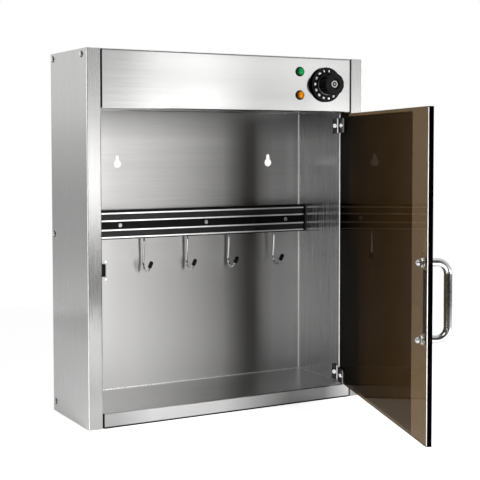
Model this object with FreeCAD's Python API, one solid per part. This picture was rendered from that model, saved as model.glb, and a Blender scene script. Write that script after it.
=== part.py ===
import FreeCAD, Part
import math
import os

from FreeCAD import Vector

# Knife sterilizer cabinet: a folded stainless case with a tinted door, a magnetic knife bar with
# sliding hooks, and a germicidal tube with its timer and pilot lamps behind the header.
# Millimetres. X is to the right as seen from the front, Y goes into the case, Z is up.
# The origin is the middle of the base.

# Case
WIDTH = 516.0
DEPTH = 165.0
HEIGHT = 600.0
SHEET = 1.0
BEND = 1.0
STILE = 24.0
RETURN_DEPTH = 24.0
STOP = 7.0
STOP_LAP = 4.0
HEADER_HEIGHT = 94.0
HEADER_LIP = 18.0
SILL_HEIGHT = 24.0
SEAM = 2.0
PAN_GAP = 0.2
CASE_FLANGE = 20.0
BASE_FLANGE = 12.0

# Screws in general
HEAD_ROUNDING = 0.6
HOLE_CLEARANCE = 0.25
THREAD_CLEARANCE = 0.05

# Case screws
CASE_SCREW_R = 2.0
CASE_HEAD_R = 4.0
CASE_HEAD_H = 2.6
CASE_SCREW_LENGTH = 9.0
SCREW_INSET = 11.0
TOP_SCREW_DROP = 9.0
BASE_SCREW_RISE = 17.0
FRONT_SCREW_INSET = 20.6

# Keyholes in the back
KEYHOLE_SPACING = 300.0
KEYHOLE_SHIFT = 10.0
KEYHOLE_DROP = 184.0
KEYHOLE_R = 7.2
KEYHOLE_NECK = 7.0
KEYHOLE_TOP = 15.4

# Door
DOOR_REST = 72.0
DOOR_T = 8.0
DOOR_GAP = 3.0
DOOR_SIDE_GAP = 2.0
DOOR_STOP_GAP = 1.0
PIVOT_INSET = 4.7
HINGE_EDGE_GAP = 6.5
DOOR_CORNER_R = 1.5
FILM_T = 0.3
FILM_INSET = 5.0
FILM_START = 9.0
FILM_CLEAR_STRIP = 66.0
FILM_CLEARANCE = 1.0

# Hinges
HINGE_HEIGHT = 25.0
TOP_HINGE_DROP = 20.0
BASE_HINGE_RISE = 12.7
KNUCKLE_R = 3.4
KNUCKLE_BAND = 8.6
KNUCKLE_GAP = 0.3
PIN_R = 1.5
RUNNING = 0.05
PIN_HEAD_R = 2.5
PIN_HEAD_H = 1.0
WALL_LEAF_T = 1.8
WALL_LEAF_LENGTH = 16.0
WALL_LEAF_SETBACK = 2.0
CLAMP_T = 1.6
CLAMP_LENGTH = 31.0
CLAMP_CORNER_R = 5.0
PAD_T = 0.5
PAD_INSET = 2.0
LEAF_SCREW_R = 2.0
LEAF_HEAD_R = 3.6
LEAF_HEAD_H = 4.6
LEAF_SCREW_TAIL = 7.0
CLAMP_SCREW_R = 1.8
CLAMP_HEAD_R = 3.2
CLAMP_HEAD_H = 1.9
CLAMP_SCREW_INSET = 14.0

# Handle
HANDLE_R = 6.0
HANDLE_CENTRES = 109.0
HANDLE_Z = 230.5
HANDLE_REACH = 28.5
HANDLE_BEND = 17.0
HANDLE_EDGE = 16.0
STUD_R = 3.0
WASHER_R = 8.0
WASHER_T = 1.2
NUT_FLANGE_R = 7.5
NUT_FLANGE_T = 1.5
NUT_ACROSS = 10.0
NUT_HEX_H = 4.5
NUT_DOME_R = 4.7
NUT_HOLLOW = 8.0

# Strike strip and magnetic catch
STRIKE_W = 11.0
STRIKE_T = 1.0
STRIKE_EDGE = 4.0
STRIKE_GAP = 2.5
CATCH_Z = 248.5
CATCH_BODY_X = 9.2
CATCH_BODY_Y = 17.0
CATCH_BODY_Z = 20.0
CATCH_BASE_T = 2.5
CATCH_BASE_Z = 31.0
CATCH_GAP = 0.3
POLE_T = 1.6
POLE_PROUD = 1.0
POLE_SPACING = 4.6
POLE_Z = 16.0
POLE_DEPTH = 12.0
CATCH_SCREW_R = 1.5
CATCH_HEAD_R = 2.3
CATCH_HEAD_H = 2.0
CATCH_SCREW_INSET = 2.8
CATCH_SCREW_TAIL = 5.0

# Door switch behind the left stop
SWITCH_Z = 390.0
SWITCH_X = 6.4
SWITCH_Y = 10.0
SWITCH_HEIGHT = 20.0
SWITCH_SETBACK = 1.2
PLUNGER_R = 1.2
PLUNGER_INSET = 3.7
PLUNGER_DOOR_GAP = 0.3
PLUNGER_LENGTH = 5.7
PLUNGER_TRAVEL = 0.6

# Magnetic bar
BAR_LENGTH = 410.0
BAR_CENTRE = 20.0
BAR_FRONT = 24.2
BAR_T = 16.0
BAR_BOTTOM = 287.6
BAR_HEIGHT = 49.7
BAR_EDGE_R = 1.2
BAR_END_WALL = 2.5
STRIP_W = 3.8
STRIP_DEPTH = 4.5
STRIP_PROUD = 0.4
STRIP_CENTRES = (332.0, 319.2, 303.4, 290.8)
MAGNET_SET = 0.5
MAGNET_RIBS = 4
MAGNET_RIB_DEPTH = 0.5
BAR_SCREWS = 3
BAR_SCREW_SPACING = 165.0
BAR_SCREW_Z = 311.2
BAR_SCREW_R = 2.0
BAR_HEAD_R = 3.5
BAR_HEAD_H = 2.0
BAR_RECESS_R = 4.6
BAR_RECESS_DEPTH = 2.6
SPACER_R = 6.0

# Hooks
HOOK_X = (-97.4, -13.4, 70.2, 164.6)
HOOK_R = 2.0
HOOK_SETBACK = 9.7
HOOK_ARC_R = 14.0
HOOK_KNEE = 6.0
HOOK_LEAN = 6.0
HOOK_DROP = 43.2
HOOK_TURN = 140.0
HOOK_TAIL = 5.6
HOOK_HEAD_R = 3.8
HOOK_HEAD_H = 3.0
HOOK_CLEARANCE = 0.4
HOOK_SEAT = 0.2
SLOT_LIP = 2.6
SLOT_ROOM = 1.0
TIP_R = 3.5
TIP_LENGTH = 13.0
TIP_SLEEVE = 8.0
TIP_FIT = 0.02

# Timer and knob
TIMER_X = 181.0
TIMER_DROP = 46.8
TIMER_W = 42.0
TIMER_H = 46.0
TIMER_DEPTH = 45.0
TIMER_CORNER = 3.0
BUSH_R = 5.0
BUSH_LENGTH = 2.4
TIMER_NUT_ACROSS = 14.0
TIMER_NUT_T = 2.0
SHAFT_R = 3.0
SHAFT_IN = 12.0
SHAFT_OUT = 20.0
DIAL_R = 30.0
DIAL_GAP = 2.7
DIAL_T = 2.8
DIAL_RIM = 1.0
GRIP_BASE_R = 16.6
GRIP_FACE_R = 19.6
GRIP_HEIGHT = 25.7
GRIP_EDGE = 2.4
FLUTES = 12
FLUTE_R = 3.6
FLUTE_DEPTH = 1.3
FACE_RECESS_R = 10.0
FACE_RECESS = 2.4
INSERT_R = 5.8
INSERT_T = 0.9

# Pilot lamps
PILOT_X = 129.3
PILOT_DROPS = (25.4, 65.6)
PILOT_BODY_R = 6.3
PILOT_BODY_LENGTH = 24.0
BEZEL_R = 8.3
BEZEL_T = 2.0
LENS_R = 7.4
LENS_HEIGHT = 6.0
LENS_SIDES = 12
LENS_RINGS = 5
LENS_CROWN = 76.0

# Germicidal tube and its fittings on the ceiling
TUBE_R = 13.0
TUBE_WALL = 0.8
TUBE_LENGTH = 437.4
TUBE_CAP = 16.0
TUBE_Y = 7.5
TUBE_RISE = 20.0
TUBE_PIN_R = 1.2
TUBE_PIN_LENGTH = 7.0
TUBE_PIN_SPACING = 12.7
HOLDER_T = 10.0
HOLDER_W = 26.0
HOLDER_CORNER_R = 11.7
SLOT_W = 44.0
SLOT_END = 4.0
SLOT_CORNER_R = 5.5
REFLECTOR_T = 0.6
REFLECTOR_TOP = 24.0
REFLECTOR_HEIGHT = 37.0
REFLECTOR_FOOT = 6.0
BALLAST_SIZE = (150.0, 38.0, 28.0)
BALLAST_PLACE = (-120.0, 60.0)
BALLAST_CORNER_R = 3.5
BALLAST_FOOT = 10.0
BALLAST_FOOT_T = 1.5
STARTER_R = 10.75
STARTER_LENGTH = 36.0
STARTER_EDGE_R = 2.7
STARTER_PLACE = (46.0, 62.0)
SOCKET_T = 12.0
SOCKET_W = 26.0
SOCKET_CORNER_R = 4.3
TERMINAL_SIZE = (34.0, 18.0, 16.0)
TERMINAL_PLACE = (80.0, -48.0)
TERMINAL_POLES = 3
TERMINAL_HOLE_R = 2.2

# Cable gland in the right side
GLAND_BORE_R = 3.6
GLAND_NECK_R = 6.5
GLAND_FLANGE_R = 9.5
GLAND_FLANGE_T = 3.0
GLAND_NUT_T = 4.0
GLAND_NUT_ACROSS = 17.1
GLAND_Y = 38.0
GLAND_DROP = 48.0

# Places worked out from the sizes above
FRONT = -DEPTH / 2
BACK = DEPTH / 2
SIDE = WIDTH / 2
OPENING_X = SIDE - STILE
WALL_X = OPENING_X - STOP
CEILING = HEIGHT - HEADER_HEIGHT
KEYHOLE_Z = HEIGHT - KEYHOLE_DROP
TIMER_Z = HEIGHT - TIMER_DROP
PILOT_Z = [HEIGHT - drop for drop in PILOT_DROPS]
GLAND_Z = HEIGHT - GLAND_DROP
STOP_Y = FRONT + RETURN_DEPTH
INNER_BACK = BACK - SHEET
HEADER_X = OPENING_X - SEAM
PIVOT_X = OPENING_X - PIVOT_INSET
PIVOT_Y = STOP_Y - DOOR_STOP_GAP - DOOR_T
DOOR_INNER_Y = PIVOT_Y + DOOR_T
DOOR_RIGHT = PIVOT_X - HINGE_EDGE_GAP
DOOR_LEFT = -OPENING_X + DOOR_SIDE_GAP
DOOR_BASE = SILL_HEIGHT + DOOR_GAP
DOOR_TOP = CEILING - DOOR_GAP
HINGE_Z = (DOOR_TOP - TOP_HINGE_DROP, DOOR_BASE + BASE_HINGE_RISE)
HANDLE_X = DOOR_LEFT + HANDLE_EDGE
HANDLE_LEGS_Z = (HANDLE_Z - HANDLE_CENTRES / 2, HANDLE_Z + HANDLE_CENTRES / 2)
BAR_Y = INNER_BACK - BAR_FRONT
BAR_BACK_Y = BAR_Y + BAR_T
HOOK_Y = BAR_Y + HOOK_SETBACK
DECK = CEILING + SHEET
TUBE_Z = DECK + TUBE_RISE
# How far cutters run past a face, and lengths taken as none
PAST = 1.0
NEAR = 1e-3

KEYHOLES_X = (KEYHOLE_SHIFT - KEYHOLE_SPACING / 2, KEYHOLE_SHIFT + KEYHOLE_SPACING / 2)

X_AXIS = Vector(1, 0, 0)
Y_AXIS = Vector(0, 1, 0)
Z_AXIS = Vector(0, 0, 1)
ORIGIN = Vector(0, 0, 0)


def block(x, y, z):
    """A box between two values on each axis."""
    size = [max(pair) - min(pair) for pair in (x, y, z)]
    return Part.makeBox(*size, Vector(min(x), min(y), min(z)))


def rod(start, direction, radius, length):
    """A round bar from its start point along a direction."""
    return Part.makeCylinder(radius, length, start, direction)


def tube(start, direction, outer, inner, length):
    """A round tube from its start point along a direction."""
    return rod(start, direction, outer, length).cut(rod(start, direction, inner, length))


def hexagon_bar(start, direction, across, length):
    """A hexagonal bar of a given width across flats."""
    corner = across / math.sqrt(3)
    bar = rod(start, direction, corner, length)
    turned = None
    side = X_AXIS if abs(direction.x) < 0.5 else Y_AXIS
    for turn in (0, 60, 120):
        normal = FreeCAD.Rotation(direction, turn).multVec(side)
        slab = slab_between(start, direction, normal, across, corner, length)
        turned = slab if turned is None else turned.common(slab)
    return bar.common(turned)


def slab_between(start, direction, normal, width, reach, length):
    """A flat slab centred on a line, with a given width along its normal."""
    across = direction.cross(normal)
    corners = []
    for u, v in ((-1, -1), (1, -1), (1, 1), (-1, 1)):
        corners.append(start + normal * (u * width / 2) + across * (v * reach * 2))
    face = Part.Face(Part.makePolygon(corners + corners[:1]))
    return face.extrude(direction * length)


def flat_point(plane, u, v):
    """A point of a drawing in the plan (X, Y), front (X, Z) or side (Y, Z) plane."""
    if plane == "plan":
        return Vector(u, v, 0)
    if plane == "front":
        return Vector(u, 0, v)
    return Vector(0, u, v)


def outline(plane, corners):
    """A closed wire through corners (u, v, radius), each rounded by its radius."""
    edges = []
    points = [(Vector(u, v, 0), r) for u, v, r in corners]
    ends = []
    for i, (corner, radius) in enumerate(points):
        before = points[i - 1][0]
        after = points[(i + 1) % len(points)][0]
        into = (corner - before).normalize()
        out = (after - corner).normalize()
        turn = into.getAngle(out)
        if radius <= 0 or turn < NEAR:
            ends.append((corner, corner, None))
            continue
        length = radius * math.tan(turn / 2)
        centre = corner + (out - into).normalize() * (radius / math.cos(turn / 2))
        middle = centre + (corner - centre).normalize() * radius
        ends.append((corner - into * length, corner + out * length, middle))
    placed = []
    for trio in ends:
        placed.append(tuple(None if p is None else flat_point(plane, p.x, p.y) for p in trio))
    for i, (first, last, middle) in enumerate(placed):
        if middle is not None:
            edges.append(Part.Arc(first, middle, last).toShape())
        following = placed[(i + 1) % len(placed)][0]
        if last.distanceToPoint(following) > NEAR:
            edges.append(Part.makeLine(last, following))
    return Part.Wire(edges)


def prism(plane, corners, start, end):
    """A rounded outline pushed between two places on the axis across its plane."""
    axis = {"plan": Z_AXIS, "front": Y_AXIS, "side": X_AXIS}[plane]
    face = Part.Face(outline(plane, corners))
    solid = face.extrude(axis * (end - start))
    solid.translate(axis * start)
    return solid


def fold(plane, path, start, end, inside, thickness=SHEET):
    """Sheet bent along a path. It lies to the left of the path (inside = 1) or to the right (-1)."""
    points = [Vector(u, v, 0) for u, v in path]
    ways = [(b - a).normalize() for a, b in zip(points, points[1:])]
    lefts = [Vector(-w.y, w.x, 0) for w in ways]
    outer = []
    inner = []
    for i, point in enumerate(points):
        if i in (0, len(points) - 1):
            normal = lefts[min(i, len(lefts) - 1)]
            outer.append((point.x, point.y, 0))
            moved = point + normal * (inside * thickness)
            inner.append((moved.x, moved.y, 0))
            continue
        bisector = (lefts[i - 1] + lefts[i]).normalize()
        reach = thickness / bisector.dot(lefts[i])
        moved = point + bisector * (inside * reach)
        turn = ways[i - 1].x * ways[i].y - ways[i - 1].y * ways[i].x
        path_is_outside = turn * inside > 0
        outer.append((point.x, point.y, BEND + thickness if path_is_outside else BEND))
        inner.append((moved.x, moved.y, BEND if path_is_outside else BEND + thickness))
    return prism(plane, outer + inner[::-1], start, end)


def mirrored(shape):
    """The same piece on the other side of the case."""
    return shape.mirror(ORIGIN, X_AXIS)


def group(shapes):
    """Separate solids of one node."""
    return Part.makeCompound(shapes)


def turned(points, start, direction):
    """A piece turned about a line: points are (radius, distance along the line)."""
    wire = Part.makePolygon([Vector(r, 0, d) for r, d in points] + [Vector(points[0][0], 0, points[0][1])])
    solid = Part.Face(wire).revolve(ORIGIN, Z_AXIS, 360)
    solid.Placement = FreeCAD.Placement(start, FreeCAD.Rotation(Z_AXIS, direction))
    return solid


def domed_head(start, direction, radius, height):
    """A screw head with a rounded rim."""
    head = rod(start, direction, radius, height)
    top = start + direction * height
    rims = [e for e in head.Edges if e.BoundBox.Center.distanceToPoint(top) < NEAR]
    return head.makeFillet(min(height, radius) * HEAD_ROUNDING, rims)


def screw(start, direction, radius, length, head_radius, head_height):
    """A domed screw: start is under its head, direction is the way the head faces."""
    shank = rod(start - direction * length, direction, radius, length)
    return shank.fuse(domed_head(start, direction, head_radius, head_height)).removeSplitter()


def case_screw_places():
    """Y and Z of the screws in each side: three in the back flange, one in the top flange."""
    rear = BACK - SCREW_INSET
    return [
        (rear, HEIGHT - TOP_SCREW_DROP),
        (rear, HEIGHT / 2),
        (rear, BASE_SCREW_RISE),
        (FRONT + FRONT_SCREW_INSET, HEIGHT - TOP_SCREW_DROP),
    ]


def screw_bores(radius):
    """Cutters for the case screws, through the left side and the flange in it."""
    reach = CASE_SCREW_LENGTH
    start = -SIDE - SHEET
    return [rod(Vector(start, y, z), X_AXIS, radius, reach) for y, z in case_screw_places()]


def side_panel():
    """Left side, its front stile and the return behind the stile, folded from one sheet."""
    path = [(-OPENING_X, STOP_Y), (-OPENING_X, FRONT), (-SIDE, FRONT), (-SIDE, BACK)]
    panel = fold("plan", path, 0, HEIGHT, -1)
    notch_x = (-OPENING_X - 2 * SHEET, -OPENING_X + SHEET)
    notch_y = (FRONT + SHEET, STOP_Y + SHEET)
    notches = [block(notch_x, notch_y, (z - SHEET, z + SHEET)) for z in (0, HEIGHT)]
    return panel.cut(notches + screw_bores(CASE_SCREW_R + HOLE_CLEARANCE))


def inner_wall():
    """Left wall of the chamber, with the flange that the closed door meets."""
    path = [(-OPENING_X - STOP_LAP, STOP_Y), (-WALL_X, STOP_Y), (-WALL_X, INNER_BACK)]
    return fold("plan", path, SHEET, CEILING, 1)


def corner_clips():
    """Cutters that clip a plate's front corners clear of the bend between stile and side."""
    x = SIDE - SHEET
    y = FRONT + SHEET
    corners = [(-x - BEND, y - BEND, 0), (-x + BEND, y, 0), (-x, y + BEND, 0)]
    clip = prism("plan", corners, -SHEET, HEIGHT + SHEET)
    return [clip, mirrored(clip)]


def top_panel():
    """Top plate with side flanges, and a tongue over the header between the stiles."""
    x = SIDE - SHEET
    low = HEIGHT - CASE_FLANGE
    path = [(-x, low), (-x, HEIGHT), (x, HEIGHT), (x, low)]
    plate = fold("front", path, FRONT + SHEET, BACK, -1)
    rear = block((-SIDE, SIDE), (BACK - CASE_FLANGE, BACK + SHEET), (low - SHEET, HEIGHT - SHEET))
    tongue = block((-HEADER_X, HEADER_X), (FRONT, FRONT + SHEET), (HEIGHT - SHEET, HEIGHT))
    plate = plate.cut(rear).fuse(tongue).removeSplitter()
    bores = screw_bores(CASE_SCREW_R + THREAD_CLEARANCE)
    return plate.cut(corner_clips() + bores + [mirrored(bore) for bore in bores])


def bottom_panel():
    """Base plate with side flanges, in front of the back and behind the sill."""
    x = SIDE - SHEET
    path = [(-x, BASE_FLANGE), (-x, 0), (x, 0), (x, BASE_FLANGE)]
    plate = fold("front", path, FRONT + SHEET, BACK, 1)
    rear = block((-SIDE, SIDE), (BACK - CASE_FLANGE, BACK + SHEET), (SHEET, BASE_FLANGE + SHEET))
    return plate.cut(corner_clips() + [rear])


def back_panel():
    """Back with side flanges and the two keyholes that the cabinet hangs from."""
    x = SIDE - SHEET
    rear = BACK - CASE_FLANGE
    path = [(-x, rear), (-x, BACK), (x, BACK), (x, rear)]
    panel = fold("plan", path, SHEET, HEIGHT - SHEET, -1)
    cutters = []
    for hole_x in KEYHOLES_X:
        start = Vector(hole_x, INNER_BACK - SHEET, KEYHOLE_Z)
        neck_r = KEYHOLE_NECK / 2
        neck_z = KEYHOLE_Z + KEYHOLE_TOP - neck_r
        neck = block((hole_x - neck_r, hole_x + neck_r), (INNER_BACK - SHEET, BACK + SHEET),
                     (KEYHOLE_Z, neck_z))
        crown = rod(Vector(hole_x, INNER_BACK - SHEET, neck_z), Y_AXIS, neck_r, 3 * SHEET)
        cutters += [rod(start, Y_AXIS, KEYHOLE_R, 3 * SHEET), neck, crown]
    bores = screw_bores(CASE_SCREW_R + THREAD_CLEARANCE)
    cutters += bores + [mirrored(bore) for bore in bores]
    for screw_x in bar_screw_places():
        start = Vector(screw_x, INNER_BACK - SHEET, BAR_SCREW_Z)
        cutters.append(rod(start, Y_AXIS, BAR_SCREW_R + THREAD_CLEARANCE, 3 * SHEET))
    return panel.cut(cutters)


def header_panel():
    """Front of the lamp housing, with a lip under the top and one over the door."""
    top = HEIGHT - SHEET
    path = [(STOP_Y, CEILING), (FRONT, CEILING), (FRONT, top), (FRONT + HEADER_LIP, top)]
    panel = fold("side", path, -HEADER_X, HEADER_X, -1)
    holes = [rod(Vector(TIMER_X, FRONT - SHEET, TIMER_Z), Y_AXIS, BUSH_R + THREAD_CLEARANCE, 3 * SHEET)]
    for z in PILOT_Z:
        start = Vector(PILOT_X, FRONT - SHEET, z)
        holes.append(rod(start, Y_AXIS, PILOT_BODY_R + THREAD_CLEARANCE, 3 * SHEET))
    return panel.cut(holes)


def ceiling_panel():
    """Ceiling of the chamber, with the long slot that the tube shines through."""
    x = OPENING_X + STOP_LAP
    plate = block((-x, x), (STOP_Y, INNER_BACK), (CEILING, DECK))
    half = TUBE_LENGTH / 2 - TUBE_CAP + SLOT_END
    y = TUBE_Y + SLOT_W / 2
    r = SLOT_CORNER_R
    corners = [(-half, y - SLOT_W, r), (half, y - SLOT_W, r), (half, y, r), (-half, y, r)]
    return plate.cut(prism("plan", corners, CEILING - SHEET, DECK + SHEET))


def floor_pan():
    """Floor of the chamber and the sill in front of it, folded from one sheet."""
    path = [(INNER_BACK, SILL_HEIGHT), (FRONT, SILL_HEIGHT), (FRONT, 0)]
    pan = fold("side", path, -HEADER_X, HEADER_X, 1)
    wall = WALL_X - PAN_GAP
    notch = block((wall, SIDE), (STOP_Y - PAN_GAP, BACK), (SILL_HEIGHT - 2 * SHEET, SILL_HEIGHT + SHEET))
    return pan.cut([notch, mirrored(notch)])


def case_screws():
    """Pan-head screws that hold the sides to the back and the top."""
    pieces = []
    for y, z in case_screw_places():
        pieces.append(screw(Vector(-SIDE, y, z), -X_AXIS, CASE_SCREW_R, CASE_SCREW_LENGTH - SHEET,
                            CASE_HEAD_R, CASE_HEAD_H))
    return group(pieces + [mirrored(piece) for piece in pieces])


def bar_screw_places():
    """X of the screws through the magnetic bar."""
    middle = (BAR_SCREWS - 1) / 2
    return [BAR_CENTRE + (i - middle) * BAR_SCREW_SPACING for i in range(BAR_SCREWS)]


def bar_ends():
    """The bar's left and right ends."""
    return BAR_CENTRE - BAR_LENGTH / 2, BAR_CENTRE + BAR_LENGTH / 2


def strip_pairs():
    """The pole strips in pairs, upper before lower: each pair holds one magnet."""
    return [(STRIP_CENTRES[i], STRIP_CENTRES[i + 1]) for i in range(0, len(STRIP_CENTRES), 2)]


def bar_housing():
    """Moulded bar with two front channels, screw recesses, and a slot below for the hooks."""
    left, right = bar_ends()
    top = BAR_BOTTOM + BAR_HEIGHT
    r = BAR_EDGE_R
    corners = [(BAR_Y, BAR_BOTTOM, r), (BAR_BACK_Y, BAR_BOTTOM, r), (BAR_BACK_Y, top, r), (BAR_Y, top, r)]
    housing = prism("side", corners, left, right)
    inside = (left + BAR_END_WALL, right - BAR_END_WALL)
    cutters = []
    for upper, lower in strip_pairs():
        z = (lower - STRIP_W / 2, upper + STRIP_W / 2)
        cutters.append(block(inside, (BAR_Y - STRIP_DEPTH, BAR_Y + STRIP_DEPTH), z))
    mouth = HOOK_R + HOOK_CLEARANCE
    room = HOOK_HEAD_R + HOOK_CLEARANCE
    lip = BAR_BOTTOM + SLOT_LIP
    cutters.append(block(inside, (HOOK_Y - mouth, HOOK_Y + mouth), (BAR_BOTTOM - PAST, lip + PAST)))
    cutters.append(block(inside, (HOOK_Y - room, HOOK_Y + room), (lip, lip + HOOK_HEAD_H + SLOT_ROOM)))
    for x in bar_screw_places():
        start = Vector(x, BAR_Y - PAST, BAR_SCREW_Z)
        cutters.append(rod(start, Y_AXIS, BAR_RECESS_R, BAR_RECESS_DEPTH + PAST))
        cutters.append(rod(start, Y_AXIS, BAR_SCREW_R + HOLE_CLEARANCE, BAR_T + 2 * PAST))
    return housing.cut(cutters)


def bar_strips():
    """Steel pole strips along the front of the bar."""
    left, right = bar_ends()
    x = (left + BAR_END_WALL, right - BAR_END_WALL)
    y = (BAR_Y - STRIP_PROUD, BAR_Y + STRIP_DEPTH)
    return group([block(x, y, (z - STRIP_W / 2, z + STRIP_W / 2)) for z in STRIP_CENTRES])


def bar_magnets():
    """Magnet bars with a ribbed face, one between the strips of each pair."""
    left, right = bar_ends()
    pieces = []
    for upper, lower in strip_pairs():
        low = lower + STRIP_W / 2
        high = upper - STRIP_W / 2
        face = BAR_Y + MAGNET_SET
        pitch = (high - low) / MAGNET_RIBS
        corners = [(BAR_Y + STRIP_DEPTH, high, 0), (BAR_Y + STRIP_DEPTH, low, 0), (face, low, 0)]
        for i in range(MAGNET_RIBS):
            corners.append((face + MAGNET_RIB_DEPTH, low + (i + 0.5) * pitch, 0))
            corners.append((face, low + (i + 1) * pitch, 0))
        pieces.append(prism("side", corners, left + BAR_END_WALL, right - BAR_END_WALL))
    return group(pieces)


def bar_spacers():
    """Spacers that hold the bar off the back."""
    pieces = []
    for x in bar_screw_places():
        start = Vector(x, BAR_BACK_Y, BAR_SCREW_Z)
        pieces.append(tube(start, Y_AXIS, SPACER_R, BAR_SCREW_R + HOLE_CLEARANCE, INNER_BACK - BAR_BACK_Y))
    return group(pieces)


def bar_screws():
    """Socket screws in the recesses of the bar, through the spacers into the back."""
    pieces = []
    seat = BAR_Y + BAR_RECESS_DEPTH
    for x in bar_screw_places():
        start = Vector(x, seat, BAR_SCREW_Z)
        body = screw(start, -Y_AXIS, BAR_SCREW_R, BACK - seat, BAR_HEAD_R, BAR_HEAD_H)
        socket = hexagon_bar(start - Y_AXIS * BAR_HEAD_H, Y_AXIS, BAR_HEAD_R, BAR_HEAD_H / 2)
        pieces.append(body.cut(socket))
    return group(pieces)


def hook_path():
    """Points on a hook's centre line at X 0, from the shank's top to the base of the tip."""
    knee = Vector(0, HOOK_Y, BAR_BOTTOM - HOOK_KNEE)
    lean = math.radians(HOOK_LEAN)
    fall = HOOK_DROP - HOOK_KNEE
    foot = knee + Vector(0, fall * math.tan(lean), -fall)
    centre = foot - Vector(0, math.cos(lean), math.sin(lean)) * HOOK_ARC_R

    def on_arc(degrees):
        angle = math.radians(degrees)
        return centre + Vector(0, math.cos(angle), -math.sin(angle)) * HOOK_ARC_R

    turn = math.radians(HOOK_TURN)
    way = Vector(0, -math.sin(turn), -math.cos(turn))
    end = on_arc(HOOK_TURN)
    return {
        "top": Vector(0, HOOK_Y, BAR_BOTTOM + SLOT_LIP + HOOK_SEAT),
        "knee": knee,
        "foot": foot,
        "middle": on_arc(HOOK_TURN / 2),
        "end": end,
        "tip_base": end + way * HOOK_TAIL,
        "way": way,
    }


def hook_wire(x):
    """A round wire hook whose flat head runs in the slot under the bar."""
    path = hook_path()
    wire_end = path["tip_base"] + path["way"] * TIP_SLEEVE
    spine = Part.Wire([
        Part.makeLine(path["knee"], path["foot"]),
        Part.Arc(path["foot"], path["middle"], path["end"]).toShape(),
        Part.makeLine(path["end"], wire_end),
    ])
    way = path["foot"] - path["knee"]
    wire = Part.BRepOffsetAPI.MakePipeShell(spine)
    wire.add(Part.Wire(Part.makeCircle(HOOK_R, path["knee"], way)))
    wire.build()
    wire.makeSolid()
    shank = rod(path["knee"], Z_AXIS, HOOK_R, path["top"].z - path["knee"].z)
    joint = Part.makeSphere(HOOK_R, path["knee"])
    head = rod(path["top"], Z_AXIS, HOOK_HEAD_R, HOOK_HEAD_H)
    hook = head.fuse([shank, joint, wire.shape()]).removeSplitter()
    hook.translate(X_AXIS * x)
    return hook


def hook_tip(x):
    """A soft tip on a hook's end: a sleeve with a rounded nose."""
    path = hook_path()
    start = path["tip_base"]
    barrel = rod(start, path["way"], TIP_R, TIP_LENGTH - TIP_R)
    nose = Part.makeSphere(TIP_R, start + path["way"] * (TIP_LENGTH - TIP_R))
    tip = barrel.fuse(nose).removeSplitter()
    tip = tip.cut(rod(start, path["way"], HOOK_R + TIP_FIT, TIP_SLEEVE))
    tip.translate(X_AXIS * x)
    return tip


def catch_front():
    """Y of the pole ends, just behind the strike strip of the closed door."""
    return DOOR_INNER_Y + STRIKE_T + CATCH_GAP


def pole_places():
    """X of the two pole plates of the catch."""
    middle = -WALL_X + (CATCH_BODY_X + CATCH_BASE_T / 2) / 2
    return middle - POLE_SPACING / 2, middle + POLE_SPACING / 2


def catch_body():
    """Magnetic catch on the left wall: a case on a base plate."""
    y = (catch_front() + POLE_PROUD, catch_front() + POLE_PROUD + CATCH_BODY_Y)
    half = CATCH_BODY_Z / 2
    r = CATCH_BASE_T / 2
    x = (-WALL_X, -WALL_X + CATCH_BODY_X)
    corners = [(x[0], y[0], 0), (x[1], y[0], r), (x[1], y[1], r), (x[0], y[1], 0)]
    body = prism("plan", corners, CATCH_Z - half, CATCH_Z + half)
    base_z = (CATCH_Z - CATCH_BASE_Z / 2, CATCH_Z + CATCH_BASE_Z / 2)
    base = block((-WALL_X, -WALL_X + CATCH_BASE_T), y, base_z)
    body = body.fuse(base).removeSplitter()
    cutters = []
    for pole_x in pole_places():
        slot_x = (pole_x - POLE_T / 2, pole_x + POLE_T / 2)
        slot_y = (y[0] - PAST, catch_front() + POLE_DEPTH)
        cutters.append(block(slot_x, slot_y, (CATCH_Z - POLE_Z / 2, CATCH_Z + POLE_Z / 2)))
    bore_r = CATCH_SCREW_R + HOLE_CLEARANCE
    for start in catch_screw_places():
        cutters.append(rod(start - X_AXIS * CATCH_BASE_T, X_AXIS, bore_r, 2 * CATCH_BASE_T))
    return body.cut(cutters)


def catch_poles():
    """Steel pole plates of the catch."""
    pieces = []
    for x in pole_places():
        pieces.append(block((x - POLE_T / 2, x + POLE_T / 2), (catch_front(), catch_front() + POLE_DEPTH),
                            (CATCH_Z - POLE_Z / 2, CATCH_Z + POLE_Z / 2)))
    return group(pieces)


def catch_screw_places():
    """Points under the heads of the two catch screws."""
    y = catch_front() + POLE_PROUD + CATCH_BODY_Y / 2
    offset = CATCH_BASE_Z / 2 - CATCH_SCREW_INSET
    return [Vector(-WALL_X + CATCH_BASE_T, y, CATCH_Z + sign * offset) for sign in (-1, 1)]


def catch_screws():
    """Screws that hold the catch to the wall."""
    length = CATCH_BASE_T + CATCH_SCREW_TAIL
    return group([screw(start, X_AXIS, CATCH_SCREW_R, length, CATCH_HEAD_R, CATCH_HEAD_H)
                  for start in catch_screw_places()])


def wall_fixings():
    """Cutters for what is screwed into the left wall and for the switch plunger in its flange."""
    bores = []
    for start in catch_screw_places():
        bores.append(rod(start - X_AXIS * (CATCH_BASE_T + 2 * SHEET), X_AXIS,
                         CATCH_SCREW_R + THREAD_CLEARANCE, 3 * SHEET))
    tip = plunger_tip()
    bores.append(rod(tip, Y_AXIS, PLUNGER_R + HOLE_CLEARANCE, 3 * SHEET))
    return bores


def plunger_tip():
    """The front of the switch plunger, just behind the closed door."""
    return Vector(-WALL_X - PLUNGER_INSET, DOOR_INNER_Y + PLUNGER_DOOR_GAP, SWITCH_Z)


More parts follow.
